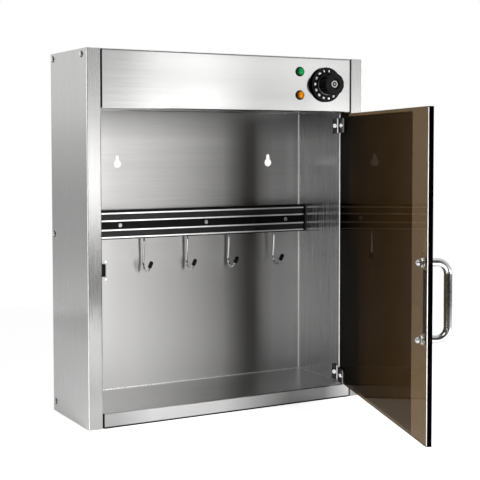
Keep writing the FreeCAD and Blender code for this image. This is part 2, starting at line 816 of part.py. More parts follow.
def door_switch():
    """Small switch behind the flange of the left wall."""
    right = -WALL_X - SHEET
    y = STOP_Y + SHEET + SWITCH_SETBACK
    body = block((right - SWITCH_X, right), (y, y + SWITCH_Y),
                 (SWITCH_Z - SWITCH_HEIGHT / 2, SWITCH_Z + SWITCH_HEIGHT / 2))
    depth = PLUNGER_LENGTH + PLUNGER_TRAVEL + RUNNING
    return body.cut(rod(plunger_tip(), Y_AXIS, PLUNGER_R + RUNNING, depth))


def switch_plunger():
    """Plunger of the switch, which the closing door pushes in."""
    return rod(plunger_tip(), Y_AXIS, PLUNGER_R, PLUNGER_LENGTH)


def opened(shape):
    """A door piece drawn closed, swung to the rest angle."""
    shape.rotate(Vector(PIVOT_X, PIVOT_Y, 0), Z_AXIS, DOOR_REST)
    return shape


def clamp_screw_places():
    """Points on the closed door's outer face where the clamp screws pass."""
    x = DOOR_RIGHT - CLAMP_SCREW_INSET
    return [Vector(x, PIVOT_Y, z) for z in HINGE_Z]


def door_panel():
    """Tinted panel with holes for the handle and the clamps."""
    r = DOOR_CORNER_R
    corners = [(DOOR_LEFT, DOOR_BASE, r), (DOOR_RIGHT, DOOR_BASE, r), (DOOR_RIGHT, DOOR_TOP, r),
               (DOOR_LEFT, DOOR_TOP, r)]
    panel = prism("front", corners, PIVOT_Y, DOOR_INNER_Y)
    cutters = [rod(Vector(HANDLE_X, PIVOT_Y, z), Y_AXIS, STUD_R + HOLE_CLEARANCE, DOOR_T)
               for z in HANDLE_LEGS_Z]
    cutters += [rod(place, Y_AXIS, CLAMP_SCREW_R + HOLE_CLEARANCE, DOOR_T) for place in clamp_screw_places()]
    return opened(panel.cut(cutters))


def clamp_outline(grow):
    """Front outline of a hinge clamp's plate about its own height, grown all round."""
    right = DOOR_RIGHT + grow
    left = DOOR_RIGHT - CLAMP_LENGTH - grow
    half = HINGE_HEIGHT / 2 + grow
    r = CLAMP_CORNER_R
    return [(right, -half, 0), (right, half, 0), (left, half, r), (left, -half, r)]


def door_film():
    """Darker film on the inner face, clear of the hinge clamps and of the free edge."""
    y = (DOOR_INNER_Y, DOOR_INNER_Y + FILM_T)
    x = (DOOR_LEFT + FILM_CLEAR_STRIP, PIVOT_X - FILM_START)
    film = block(x, y, (DOOR_BASE + FILM_INSET, DOOR_TOP - FILM_INSET))
    for z in HINGE_Z:
        notch = prism("front", clamp_outline(FILM_CLEARANCE), y[0] - PAST, y[1] + PAST)
        notch.translate(Z_AXIS * z)
        film = film.cut(notch)
    return opened(film)


def strike_strip():
    """Steel strip on the inner face between the handle nuts: it meets the catch."""
    x = DOOR_LEFT + STRIKE_EDGE
    reach = NUT_FLANGE_R + STRIKE_GAP
    z = (HANDLE_LEGS_Z[0] + reach, HANDLE_LEGS_Z[1] - reach)
    return opened(block((x, x + STRIKE_W), (DOOR_INNER_Y, DOOR_INNER_Y + STRIKE_T), z))


def handle():
    """Bent tube handle with a stud in each leg."""
    foot = PIVOT_Y - WASHER_T
    front = PIVOT_Y - HANDLE_REACH
    low, high = HANDLE_LEGS_Z
    r = HANDLE_BEND
    dip = r * (1 - math.sqrt(0.5))

    def point(y, z):
        return Vector(HANDLE_X, y, z)

    spine = Part.Wire([
        Part.makeLine(point(foot, low), point(front + r, low)),
        Part.Arc(point(front + r, low), point(front + dip, low + dip), point(front, low + r)).toShape(),
        Part.makeLine(point(front, low + r), point(front, high - r)),
        Part.Arc(point(front, high - r), point(front + dip, high - dip), point(front + r, high)).toShape(),
        Part.makeLine(point(front + r, high), point(foot, high)),
    ])
    bow = Part.BRepOffsetAPI.MakePipeShell(spine)
    bow.add(Part.Wire(Part.makeCircle(HANDLE_R, point(foot, low), -Y_AXIS)))
    bow.build()
    bow.makeSolid()
    length = DOOR_T + WASHER_T * 2 + NUT_HOLLOW
    studs = [rod(point(foot, z), Y_AXIS, STUD_R, length) for z in (low, high)]
    return opened(bow.shape().fuse(studs).removeSplitter())


def handle_washers():
    """Washers on both faces of the door under the handle and the nuts."""
    pieces = []
    for z in HANDLE_LEGS_Z:
        for y in (PIVOT_Y - WASHER_T, DOOR_INNER_Y):
            pieces.append(tube(Vector(HANDLE_X, y, z), Y_AXIS, WASHER_R, STUD_R + HOLE_CLEARANCE, WASHER_T))
    return opened(group(pieces))


def dome_nuts():
    """Flanged dome nuts on the handle's studs, inside the door."""
    pieces = []
    for z in HANDLE_LEGS_Z:
        seat = Vector(HANDLE_X, DOOR_INNER_Y + WASHER_T, z)
        flange = rod(seat, Y_AXIS, NUT_FLANGE_R, NUT_FLANGE_T)
        hexagon = hexagon_bar(seat, Y_AXIS, NUT_ACROSS, NUT_FLANGE_T + NUT_HEX_H)
        dome_seat = seat + Y_AXIS * (NUT_FLANGE_T + NUT_HEX_H)
        dome = Part.makeSphere(NUT_DOME_R, dome_seat)
        nut = flange.fuse([hexagon, dome]).removeSplitter()
        depth = NUT_HOLLOW + THREAD_CLEARANCE
        hollow = rod(seat - Y_AXIS * PAST, Y_AXIS, STUD_R + THREAD_CLEARANCE, depth + PAST)
        pieces.append(nut.cut(hollow))
    return opened(group(pieces))


def leaf_screw_place(z):
    """The point under the head of the screw in a wall leaf."""
    y = STOP_Y + WALL_LEAF_SETBACK + WALL_LEAF_LENGTH / 2
    return Vector(WALL_X - WALL_LEAF_T, y, z)


def hinge_wall_leaves():
    """Fixed hinge leaves on the right wall, each with an arm to its middle knuckle."""
    pieces = []
    half = HINGE_HEIGHT / 2
    band = KNUCKLE_BAND / 2
    start = STOP_Y + WALL_LEAF_SETBACK
    end = start + WALL_LEAF_LENGTH
    for z in HINGE_Z:
        plate = block((WALL_X - WALL_LEAF_T, WALL_X), (start, end), (z - half, z + half))
        arm = block((WALL_X - WALL_LEAF_T, WALL_X), (PIVOT_Y, end), (z - band, z + band))
        knuckle = rod(Vector(PIVOT_X, PIVOT_Y, z - band), Z_AXIS, KNUCKLE_R, KNUCKLE_BAND)
        leaf = plate.fuse([arm, knuckle]).removeSplitter()
        bores = [
            rod(Vector(PIVOT_X, PIVOT_Y, z - band), Z_AXIS, PIN_R + RUNNING, KNUCKLE_BAND),
            rod(leaf_screw_place(z), X_AXIS, LEAF_SCREW_R + HOLE_CLEARANCE, WALL_LEAF_T),
        ]
        pieces.append(leaf.cut(bores))
    return group(pieces)


def hinge_wall_screws():
    """High-domed screws that hold the wall leaves."""
    length = WALL_LEAF_T + LEAF_SCREW_TAIL
    return group([screw(leaf_screw_place(z), -X_AXIS, LEAF_SCREW_R, length, LEAF_HEAD_R, LEAF_HEAD_H)
                  for z in HINGE_Z])


def leaf_screw_bores():
    """Cutters for the wall-leaf screws in the right wall."""
    return [rod(leaf_screw_place(z), X_AXIS, LEAF_SCREW_R + THREAD_CLEARANCE, WALL_LEAF_T + 2 * SHEET)
            for z in HINGE_Z]


def hinge_clamps():
    """Channel clamps over the door's hinge edge, each with two knuckles on the pivot."""
    pieces = []
    half = HINGE_HEIGHT / 2
    band = KNUCKLE_BAND / 2 + KNUCKLE_GAP
    outer_y = PIVOT_Y - PAD_T - CLAMP_T
    inner_y = DOOR_INNER_Y + PAD_T + CLAMP_T
    web_x = DOOR_RIGHT + CLAMP_T
    for z in HINGE_Z:
        channel = prism("front", clamp_outline(0), outer_y, inner_y)
        channel.translate(Z_AXIS * z)
        web = block((DOOR_RIGHT, web_x), (outer_y, inner_y), (z - half, z + half))
        lug = block((web_x, PIVOT_X), (PIVOT_Y - CLAMP_T, PIVOT_Y + CLAMP_T), (z - half, z + half))
        knuckle = rod(Vector(PIVOT_X, PIVOT_Y, z - half), Z_AXIS, KNUCKLE_R, HINGE_HEIGHT)
        clamp = channel.fuse([web, lug, knuckle])
        room = block((DOOR_LEFT, DOOR_RIGHT), (PIVOT_Y - PAD_T, DOOR_INNER_Y + PAD_T), (z - half, z + half))
        middle = block((DOOR_RIGHT, SIDE), (FRONT, STOP_Y + RETURN_DEPTH), (z - band, z + band))
        pin = rod(Vector(PIVOT_X, PIVOT_Y, z - half), Z_AXIS, PIN_R + RUNNING, HINGE_HEIGHT)
        clamp = clamp.cut([room, middle, pin]).removeSplitter()
        pieces.append(clamp)
    cutters = []
    for place in clamp_screw_places():
        start = Vector(place.x, outer_y, place.z)
        cutters.append(rod(start, Y_AXIS, CLAMP_SCREW_R + THREAD_CLEARANCE, inner_y - outer_y))
    return opened(group([piece.cut(cutters) for piece in pieces]))


def clamp_pads():
    """Rubber pads between the clamps and both faces of the door."""
    pieces = []
    half = HINGE_HEIGHT / 2 - PAD_INSET
    x = (DOOR_RIGHT - CLAMP_LENGTH + PAD_INSET + CLAMP_CORNER_R / 2, DOOR_RIGHT)
    for place in clamp_screw_places():
        for y in (PIVOT_Y - PAD_T, DOOR_INNER_Y):
            pad = block(x, (y, y + PAD_T), (place.z - half, place.z + half))
            bore = rod(Vector(place.x, y, place.z), Y_AXIS, CLAMP_SCREW_R + HOLE_CLEARANCE, PAD_T)
            pieces.append(pad.cut(bore))
    return opened(group(pieces))


def clamp_screws():
    """Screws that close the clamps on the door, with their heads inside."""
    pieces = []
    length = DOOR_T + 2 * PAD_T + 2 * CLAMP_T
    for place in clamp_screw_places():
        start = Vector(place.x, DOOR_INNER_Y + PAD_T + CLAMP_T, place.z)
        pieces.append(screw(start, Y_AXIS, CLAMP_SCREW_R, length, CLAMP_HEAD_R, CLAMP_HEAD_H))
    return opened(group(pieces))


def hinge_pins():
    """Pivot pins with a head on each end."""
    pieces = []
    half = HINGE_HEIGHT / 2
    for z in HINGE_Z:
        base = Vector(PIVOT_X, PIVOT_Y, z - half)
        pin = rod(base - Z_AXIS * PIN_HEAD_H, Z_AXIS, PIN_R, HINGE_HEIGHT + 2 * PIN_HEAD_H)
        lower = domed_head(base, -Z_AXIS, PIN_HEAD_R, PIN_HEAD_H)
        upper = domed_head(base + Z_AXIS * HINGE_HEIGHT, Z_AXIS, PIN_HEAD_R, PIN_HEAD_H)
        pieces.append(pin.fuse([lower, upper]).removeSplitter())
    return opened(group(pieces))


def timer_point(y):
    """A point on the timer's axis."""
    return Vector(TIMER_X, y, TIMER_Z)


def timer_body():
    """Clockwork timer behind the header, with its bush through the sheet."""
    w = TIMER_W / 2
    h = TIMER_H / 2
    r = TIMER_CORNER
    corners = [(TIMER_X - w, TIMER_Z - h, r), (TIMER_X + w, TIMER_Z - h, r), (TIMER_X + w, TIMER_Z + h, r),
               (TIMER_X - w, TIMER_Z + h, r)]
    rear = FRONT + SHEET
    body = prism("front", corners, rear, rear + TIMER_DEPTH)
    bush = rod(timer_point(FRONT - BUSH_LENGTH), Y_AXIS, BUSH_R, BUSH_LENGTH + SHEET)
    depth = BUSH_LENGTH + SHEET + SHAFT_IN + RUNNING
    bore = rod(timer_point(FRONT - BUSH_LENGTH), Y_AXIS, SHAFT_R + RUNNING, depth)
    return body.fuse(bush).cut(bore)


def timer_nut():
    """Nut on the timer's bush, hidden by the dial."""
    nut = hexagon_bar(timer_point(FRONT - TIMER_NUT_T), Y_AXIS, TIMER_NUT_ACROSS, TIMER_NUT_T)
    return nut.cut(rod(timer_point(FRONT - TIMER_NUT_T), Y_AXIS, BUSH_R + THREAD_CLEARANCE, TIMER_NUT_T))


def timer_shaft():
    """Shaft between the clockwork and the knob."""
    length = SHAFT_OUT + SHEET + SHAFT_IN
    return rod(timer_point(FRONT - SHAFT_OUT), Y_AXIS, SHAFT_R, length)


def knob_levels():
    """Y of the dial's back, the dial's face and the grip's face."""
    back = FRONT - DIAL_GAP
    return back, back - DIAL_T, back - DIAL_T - GRIP_HEIGHT


def timer_knob():
    """Dial and fluted grip in one moulding."""
    back, dial_face, face = knob_levels()
    height = back - face
    slope = (GRIP_BASE_R - GRIP_FACE_R) / GRIP_HEIGHT
    floor = height - FACE_RECESS
    profile = [
        (0, 0), (DIAL_R - DIAL_RIM, 0), (DIAL_R, DIAL_RIM), (DIAL_R, DIAL_T - DIAL_RIM / 2),
        (DIAL_R - DIAL_RIM / 2, DIAL_T), (GRIP_BASE_R, DIAL_T),
        (GRIP_FACE_R + slope * GRIP_EDGE, height - GRIP_EDGE),
        (GRIP_FACE_R - GRIP_EDGE / 3, height - GRIP_EDGE / 3), (GRIP_FACE_R - GRIP_EDGE, height),
        (FACE_RECESS_R, height), (FACE_RECESS_R - FACE_RECESS / 2, floor), (0, floor),
    ]
    knob = turned(profile, timer_point(back), -Y_AXIS)
    tilt = math.degrees(math.atan(slope))
    on_dial = FreeCAD.Placement(timer_point(dial_face), FreeCAD.Rotation(Z_AXIS, -Y_AXIS))
    cutters = []
    for i in range(FLUTES):
        centre = GRIP_BASE_R + FLUTE_R - FLUTE_DEPTH
        flute = rod(Vector(centre, 0, 0), Z_AXIS, FLUTE_R, GRIP_HEIGHT + FLUTE_R)
        flute.rotate(Vector(centre, 0, 0), Y_AXIS, -tilt)
        flute.rotate(ORIGIN, Z_AXIS, i * 360 / FLUTES)
        flute.Placement = on_dial.multiply(flute.Placement)
        cutters.append(flute)
    depth = SHAFT_OUT - DIAL_GAP
    bore = rod(timer_point(back), -Y_AXIS, SHAFT_R + TIP_FIT, depth + TIP_FIT)
    return knob.cut(cutters + [bore])


def knob_insert():
    """Bright disc in the recess of the grip's face."""
    face = knob_levels()[2]
    return rod(timer_point(face + FACE_RECESS), -Y_AXIS, INSERT_R, INSERT_T)


def pilot_point(z, y):
    """A point on a pilot lamp's axis."""
    return Vector(PILOT_X, y, z)


def pilot_bodies():
    """Lamp bodies through the header."""
    length = PILOT_BODY_LENGTH + BEZEL_T
    return group([rod(pilot_point(z, FRONT - BEZEL_T), Y_AXIS, PILOT_BODY_R, length) for z in PILOT_Z])


def pilot_bezels():
    """Dark rings around the lamps."""
    pieces = []
    for z in PILOT_Z:
        inner = PILOT_BODY_R + THREAD_CLEARANCE
        ring = [(inner, 0), (BEZEL_R, 0), (BEZEL_R, BEZEL_T / 2), (BEZEL_R - BEZEL_T / 3, BEZEL_T),
                (inner, BEZEL_T)]
        pieces.append(turned(ring, pilot_point(z, FRONT), -Y_AXIS))
    return group(pieces)


def pilot_lens(z):
    """Faceted dome of a pilot lamp."""
    base = pilot_point(z, FRONT - BEZEL_T)
    rings = []
    for i in range(LENS_RINGS):
        rise = math.radians(i * LENS_CROWN / (LENS_RINGS - 1))
        radius = LENS_R * math.cos(rise)
        corners = []
        for k in range(LENS_SIDES):
            angle = math.radians((k + 0.5) * 360 / LENS_SIDES)
            out = Vector(math.cos(angle), 0, math.sin(angle)) * radius
            corners.append(base + out - Y_AXIS * (LENS_HEIGHT * math.sin(rise)))
        rings.append(Part.makePolygon(corners + corners[:1]))
    return Part.makeLoft(rings, True, True)


def tube_point(x, lift=0.0):
    """A point on the tube's axis, or above it."""
    return Vector(x, TUBE_Y, TUBE_Z + lift)


def uv_tube():
    """Glass of the germicidal tube."""
    half = TUBE_LENGTH / 2 - TUBE_CAP
    return tube(tube_point(-half), X_AXIS, TUBE_R, TUBE_R - TUBE_WALL, 2 * half)


def uv_tube_caps():
    """Metal caps of the tube, each with two pins."""
    half = TUBE_LENGTH / 2
    cap = rod(tube_point(half - TUBE_CAP), X_AXIS, TUBE_R, TUBE_CAP)
    pins = [rod(tube_point(half, sign * TUBE_PIN_SPACING / 2), X_AXIS, TUBE_PIN_R, TUBE_PIN_LENGTH)
            for sign in (-1, 1)]
    right = cap.fuse(pins)
    return group([right, mirrored(right)])


def tube_holders():
    """Holders that stand on the ceiling and take the pins."""
    half = TUBE_LENGTH / 2
    w = HOLDER_W / 2
    top = TUBE_Z + w
    r = HOLDER_CORNER_R
    corners = [(TUBE_Y - w, DECK, 0), (TUBE_Y + w, DECK, 0), (TUBE_Y + w, top, r), (TUBE_Y - w, top, r)]
    holder = prism("side", corners, half, half + HOLDER_T)
    bores = [rod(tube_point(half, sign * TUBE_PIN_SPACING / 2), X_AXIS, TUBE_PIN_R + THREAD_CLEARANCE,
                 TUBE_PIN_LENGTH + THREAD_CLEARANCE) for sign in (-1, 1)]
    right = holder.cut(bores)
    return group([right, mirrored(right)])


def lamp_reflector():
    """Polished trough over the tube, with feet on the ceiling."""
    wide = SLOT_W / 2
    narrow = REFLECTOR_TOP / 2
    top = DECK + REFLECTOR_HEIGHT
    base = DECK + REFLECTOR_T
    path = [
        (TUBE_Y - wide - REFLECTOR_FOOT, base), (TUBE_Y - wide, base), (TUBE_Y - narrow, top),
        (TUBE_Y + narrow, top), (TUBE_Y + wide, base), (TUBE_Y + wide + REFLECTOR_FOOT, base),
    ]
    half = TUBE_LENGTH / 2 - TUBE_CAP
    return fold("side", path, -half, half, -1, REFLECTOR_T)


def ballast():
    """Choke of the tube, with feet on the ceiling."""
    x, y = BALLAST_PLACE
    length, width, height = BALLAST_SIZE
    r = BALLAST_CORNER_R
    corners = [(y - width / 2, DECK, 0), (y + width / 2, DECK, 0), (y + width / 2, DECK + height, r),
               (y - width / 2, DECK + height, r)]
    core = prism("side", corners, x - length / 2, x + length / 2)
    reach = length / 2 + BALLAST_FOOT
    feet = block((x - reach, x + reach), (y - width / 3, y + width / 3), (DECK, DECK + BALLAST_FOOT_T))
    return core.fuse(feet).removeSplitter()


def starter_point(x):
    """A point on the starter's axis."""
    return Vector(x, STARTER_PLACE[1], DECK + SOCKET_W / 2)


def starter_socket():
    """Socket of the starter, standing on the ceiling."""
    x, y = STARTER_PLACE
    w = SOCKET_W / 2
    top = DECK + SOCKET_W
    r = SOCKET_CORNER_R
    corners = [(y - w, DECK, 0), (y + w, DECK, 0), (y + w, top, r), (y - w, top, r)]
    return prism("side", corners, x - SOCKET_T, x)


def starter():
    """Glow starter in its socket."""
    can = rod(starter_point(STARTER_PLACE[0]), X_AXIS, STARTER_R, STARTER_LENGTH)
    end = starter_point(STARTER_PLACE[0] + STARTER_LENGTH)
    rims = [e for e in can.Edges if e.BoundBox.Center.distanceToPoint(end) < NEAR]
    return can.makeFillet(STARTER_EDGE_R, rims)


def terminal_block():
    """Terminals of the supply, with a screw well for each pole."""
    x, y = TERMINAL_PLACE
    length, width, height = TERMINAL_SIZE
    body = block((x - length / 2, x + length / 2), (y - width / 2, y + width / 2), (DECK, DECK + height))
    pitch = length / TERMINAL_POLES
    wells = []
    for i in range(TERMINAL_POLES):
        well_x = x - length / 2 + (i + 0.5) * pitch
        wells.append(rod(Vector(well_x, y, DECK + height / 2), Z_AXIS, TERMINAL_HOLE_R, height))
    return body.cut(wells)


def cable_gland():
    """Gland in the right side where the supply cable enters."""
    start = Vector(SIDE + GLAND_FLANGE_T, GLAND_Y, GLAND_Z)
    length = GLAND_FLANGE_T + SHEET + GLAND_NUT_T
    flange = rod(start, -X_AXIS, GLAND_FLANGE_R, GLAND_FLANGE_T)
    neck = rod(start, -X_AXIS, GLAND_NECK_R, length)
    collar_start = start - X_AXIS * (GLAND_FLANGE_T + SHEET)
    collar = hexagon_bar(collar_start, -X_AXIS, GLAND_NUT_ACROSS, GLAND_NUT_T)
    body = flange.fuse([neck, collar]).removeSplitter()
    return body.cut(rod(start, -X_AXIS, GLAND_BORE_R, length))


def gland_bore():
    """Cutter for the gland in the right side."""
    return rod(Vector(SIDE - 2 * SHEET, GLAND_Y, GLAND_Z), X_AXIS, GLAND_NECK_R + THREAD_CLEARANCE, 3 * SHEET)


def parts():
    """Every node's shape by its name."""
    side = side_panel()
    wall = inner_wall()
    pieces = {
        "left_side_panel": side,
        "right_side_panel": mirrored(side).cut(gland_bore()),
        "left_inner_wall": wall.cut(wall_fixings()),
        "right_inner_wall": mirrored(wall).cut(leaf_screw_bores()),
        "top_panel": top_panel(),
        "bottom_panel": bottom_panel(),
        "back_panel": back_panel(),
        "header_panel": header_panel(),
        "ceiling_panel": ceiling_panel(),
        "floor_pan": floor_pan(),
        "case_screws": case_screws(),
        "bar_housing": bar_housing(),
        "bar_strips": bar_strips(),
        "bar_magnets": bar_magnets(),
        "bar_spacers": bar_spacers(),
        "bar_screws": bar_screws(),
        "catch_body": catch_body(),
        "catch_poles": catch_poles(),
        "catch_screws": catch_screws(),
        "door_switch": door_switch(),
        "switch_plunger": switch_plunger(),
        "door_panel": door_panel(),
        "door_film": door_film(),
        "strike_strip": strike_strip(),
        "handle": handle(),
        "handle_washers": handle_washers(),
        "dome_nuts": dome_nuts(),
        "hinge_wall_leaves": hinge_wall_leaves(),
        "hinge_wall_screws": hinge_wall_screws(),
        "hinge_clamps": hinge_clamps(),
        "clamp_pads": clamp_pads(),
        "clamp_screws": clamp_screws(),
        "hinge_pins": hinge_pins(),
        "timer_body": timer_body(),
        "timer_nut": timer_nut(),
        "timer_shaft": timer_shaft(),
        "timer_knob": timer_knob(),
        "knob_insert": knob_insert(),
        "pilot_bodies": pilot_bodies(),
        "pilot_bezels": pilot_bezels(),
        "green_lens": pilot_lens(PILOT_Z[0]),
        "amber_lens": pilot_lens(PILOT_Z[1]),
        "uv_tube": uv_tube(),
        "uv_tube_caps": uv_tube_caps(),
        "tube_holders": tube_holders(),
        "lamp_reflector": lamp_reflector(),
        "ballast": ballast(),
        "starter_socket": starter_socket(),
        "starter": starter(),
        "terminal_block": terminal_block(),
        "cable_gland": cable_gland(),
    }
    for number, x in enumerate(HOOK_X, 1):
        pieces["hook_%d_wire" % number] = hook_wire(x)
        pieces["hook_%d_tip" % number] = hook_tip(x)
    return pieces


def main():
    os.makedirs("parts", exist_ok=True)
    for name, shape in parts().items():
        if not shape.isValid():
            raise ValueError(name + " isn't a valid shape")
        shape.exportStep(os.path.join("parts", name + ".step"))
        print(name, len(shape.Solids), round(shape.Volume))


main()
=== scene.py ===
import bpy
import math
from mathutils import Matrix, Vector


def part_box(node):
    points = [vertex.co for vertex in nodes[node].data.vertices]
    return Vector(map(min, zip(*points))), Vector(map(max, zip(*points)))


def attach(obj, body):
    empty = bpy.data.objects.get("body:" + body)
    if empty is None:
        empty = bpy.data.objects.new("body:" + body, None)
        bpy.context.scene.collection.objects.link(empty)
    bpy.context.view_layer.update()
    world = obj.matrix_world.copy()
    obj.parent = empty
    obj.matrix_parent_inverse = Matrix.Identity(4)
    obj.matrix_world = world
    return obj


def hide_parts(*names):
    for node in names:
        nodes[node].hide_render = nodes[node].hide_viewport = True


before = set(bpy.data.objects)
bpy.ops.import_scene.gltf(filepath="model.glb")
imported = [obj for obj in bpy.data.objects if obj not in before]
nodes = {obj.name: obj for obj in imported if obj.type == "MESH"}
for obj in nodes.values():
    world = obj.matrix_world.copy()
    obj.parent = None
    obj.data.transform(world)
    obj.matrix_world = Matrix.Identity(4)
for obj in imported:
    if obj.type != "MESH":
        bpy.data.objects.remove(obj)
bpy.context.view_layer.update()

# Light levels
FLOOR_GLOW = 0.78
FLOOR_MIRRORED = 0.33
AMBIENT = 0.2
KEY_POWER = 14
FILL_POWER = 1.5
FRONT_POWER = 100

# The studio that the steel mirrors: heading in degrees (0 in front, 90 to the right) and level
AROUND = [
    (-180, 0.35), (-170, 0.8), (-158, 1.25), (-140, 1.15), (-120, 0.25), (-60, 0.25),
    (-31, 0.16), (-10, 0.2), (10, 0.2), (17, 0.6), (20.7, 0.95), (22.8, 1.0), (24.2, 1.6),
    (27, 1.75), (29.2, 1.15), (30.3, 1.1), (31.5, 1.4), (33.4, 1.2), (60, 1.2), (90, 1.0),
    (150, 0.6), (170, 0.3), (180, 0.35),
]
# rise in degrees and level, in front and behind
FRONT_BAND = [
    (-90, 0.8), (-12.4, 1.1), (-10, 0.9), (-7.6, 0.05), (-5.2, 0.4), (-2.8, 3.0), (-0.3, 3.0),
    (0.9, 0.95), (1.6, 0.82), (2.4, 0.85), (4.1, 0.8), (8, 0.5), (15, 0.35), (25, 0.35), (90, 0.5),
]
REAR_BAND = [
    (-90, 0.8), (-12, 0.72), (-10, 1.0), (-7.6, 0.72), (-5.2, 0.55), (-2.8, 0.5), (-0.3, 0.67),
    (2, 1.0), (90, 1.0),
]
# A colour ramp holds levels up to 1, so each profile is divided by its top and multiplied back
AROUND_TOP = 2.0
FRONT_TOP = 3.0
REAR_TOP = 2.0
# how far the front band fades into the rear one, on each side of the middle
BAND_FADE = 0.4

# Camera at the photo's viewing angle, fitted to points measured in it
cam_data = bpy.data.cameras.new("camera")
camera = bpy.data.objects.new("camera", cam_data)
bpy.context.scene.collection.objects.link(camera)
camera.location = (-0.88983, -1.74924, 0.45141)
camera.rotation_euler = (math.radians(87.079), 0, math.radians(-29.937))
cam_data.sensor_width = 36
cam_data.lens = 84.96
cam_data.shift_x = -0.0625
cam_data.shift_y = -0.0807
cam_data.clip_start = 0.01
bpy.context.scene.camera = camera


# Node trees
class Tree:
    """A node tree with short helpers for building it."""

    def __init__(self, tree):
        self.t = tree

    def node(self, kind, **options):
        """A new node: an option sets the input of its name, or else the property."""
        n = self.t.nodes.new(kind)
        for key, value in options.items():
            if key in n.inputs:
                n.inputs[key].default_value = value
            else:
                setattr(n, key, value)
        return n

    def link(self, a, b):
        self.t.links.new(a, b)

    def feed(self, value, socket):
        """Links an output to a socket, or gives the socket a plain value."""
        if hasattr(value, "is_output"):
            self.link(value, socket)
        else:
            socket.default_value = value

    def calc(self, operation, a, b=None):
        """The result of a Math node on outputs or plain numbers."""
        n = self.node("ShaderNodeMath", operation=operation)
        self.feed(a, n.inputs[0])
        if b is not None:
            self.feed(b, n.inputs[1])
        return n.outputs[0]

    def to_range(self, fac, low, high, f0=0.3, f1=0.7):
        """Maps f0 to low and f1 to high, and holds the ends."""
        r = self.node("ShaderNodeMapRange")
        r.inputs["From Min"].default_value = f0
        r.inputs["From Max"].default_value = f1
        r.inputs["To Min"].default_value = low
        r.inputs["To Max"].default_value = high
        self.link(fac, r.inputs["Value"])
        return r.outputs["Result"]


class Mat(Tree):
    """A node material around its Principled shader."""

    def __init__(self, name):
        self.m = bpy.data.materials.new(name)
        self.m.use_nodes = True
        super().__init__(self.m.node_tree)
        self.b = self.t.nodes["Principled BSDF"]
        self.coords = None

    def set(self, **sockets):
        for key, value in sockets.items():
            self.b.inputs[key.replace("_", " ")].default_value = value
        return self

    def position(self, scale):
        """Object coordinates, scaled by axis."""
        if self.coords is None:
            self.coords = self.node("ShaderNodeTexCoord")
        mapping = self.node("ShaderNodeMapping")
        mapping.inputs["Scale"].default_value = scale
        self.link(self.coords.outputs["Object"], mapping.inputs["Vector"])
        return mapping.outputs["Vector"]

    def axes(self):
        """Object coordinates in metres, as outputs X, Y and Z."""
        at = self.node("ShaderNodeSeparateXYZ")
        self.link(self.position((1, 1, 1)), at.inputs[0])
        return at.outputs

    def about(self, centre):
        """The way out from a line along y through the centre, and its length."""
        coords = self.node("ShaderNodeTexCoord")
        shift = self.node("ShaderNodeVectorMath", operation="SUBTRACT")
        shift.inputs[1].default_value = centre
        self.link(coords.outputs["Object"], shift.inputs[0])
        flat = self.node("ShaderNodeVectorMath", operation="MULTIPLY")
        flat.inputs[1].default_value = (1, 0, 1)
        self.link(shift.outputs[0], flat.inputs[0])
        size = self.node("ShaderNodeVectorMath", operation="LENGTH")
        self.link(flat.outputs[0], size.inputs[0])
        return flat.outputs[0], size.outputs["Value"]

    def noise(self, scale, detail=3.0, rough=0.5):
        """Noise with its own scale for each axis, in cycles per metre."""
        n = self.node("ShaderNodeTexNoise")
        n.inputs["Scale"].default_value = 1.0
        n.inputs["Detail"].default_value = detail
        n.inputs["Roughness"].default_value = rough
        self.link(self.position(scale), n.inputs["Vector"])
        return n.outputs["Fac"]

    def ramp(self, fac, stops):
        """A colour ramp: stops are (place, colour)."""
        r = self.node("ShaderNodeValToRGB")
        e = r.color_ramp.elements
        while len(e) < len(stops):
            e.new(0.5)
        for el, (pos, col) in zip(e, stops):
            el.position = pos
            el.color = (*col, 1) if len(col) == 3 else col
        self.link(fac, r.inputs["Fac"])
        return r.outputs["Color"]

    def mix(self, fac, a, b):
        """Colour a where fac is 0 and b where it is 1."""
        m = self.node("ShaderNodeMix", data_type="RGBA")
        for value, sock in ((fac, m.inputs[0]), (a, m.inputs[6]), (b, m.inputs[7])):
            self.feed(value, sock)
        return m.outputs[2]

    def bump(self, fac, strength, distance):
        b = self.node("ShaderNodeBump")
        b.inputs["Strength"].default_value = strength
        b.inputs["Distance"].default_value = distance
        self.link(fac, b.inputs["Height"])
        self.link(b.outputs["Normal"], self.b.inputs["Normal"])


# Kinds of material
def grey(v):
    return (v, v, v)


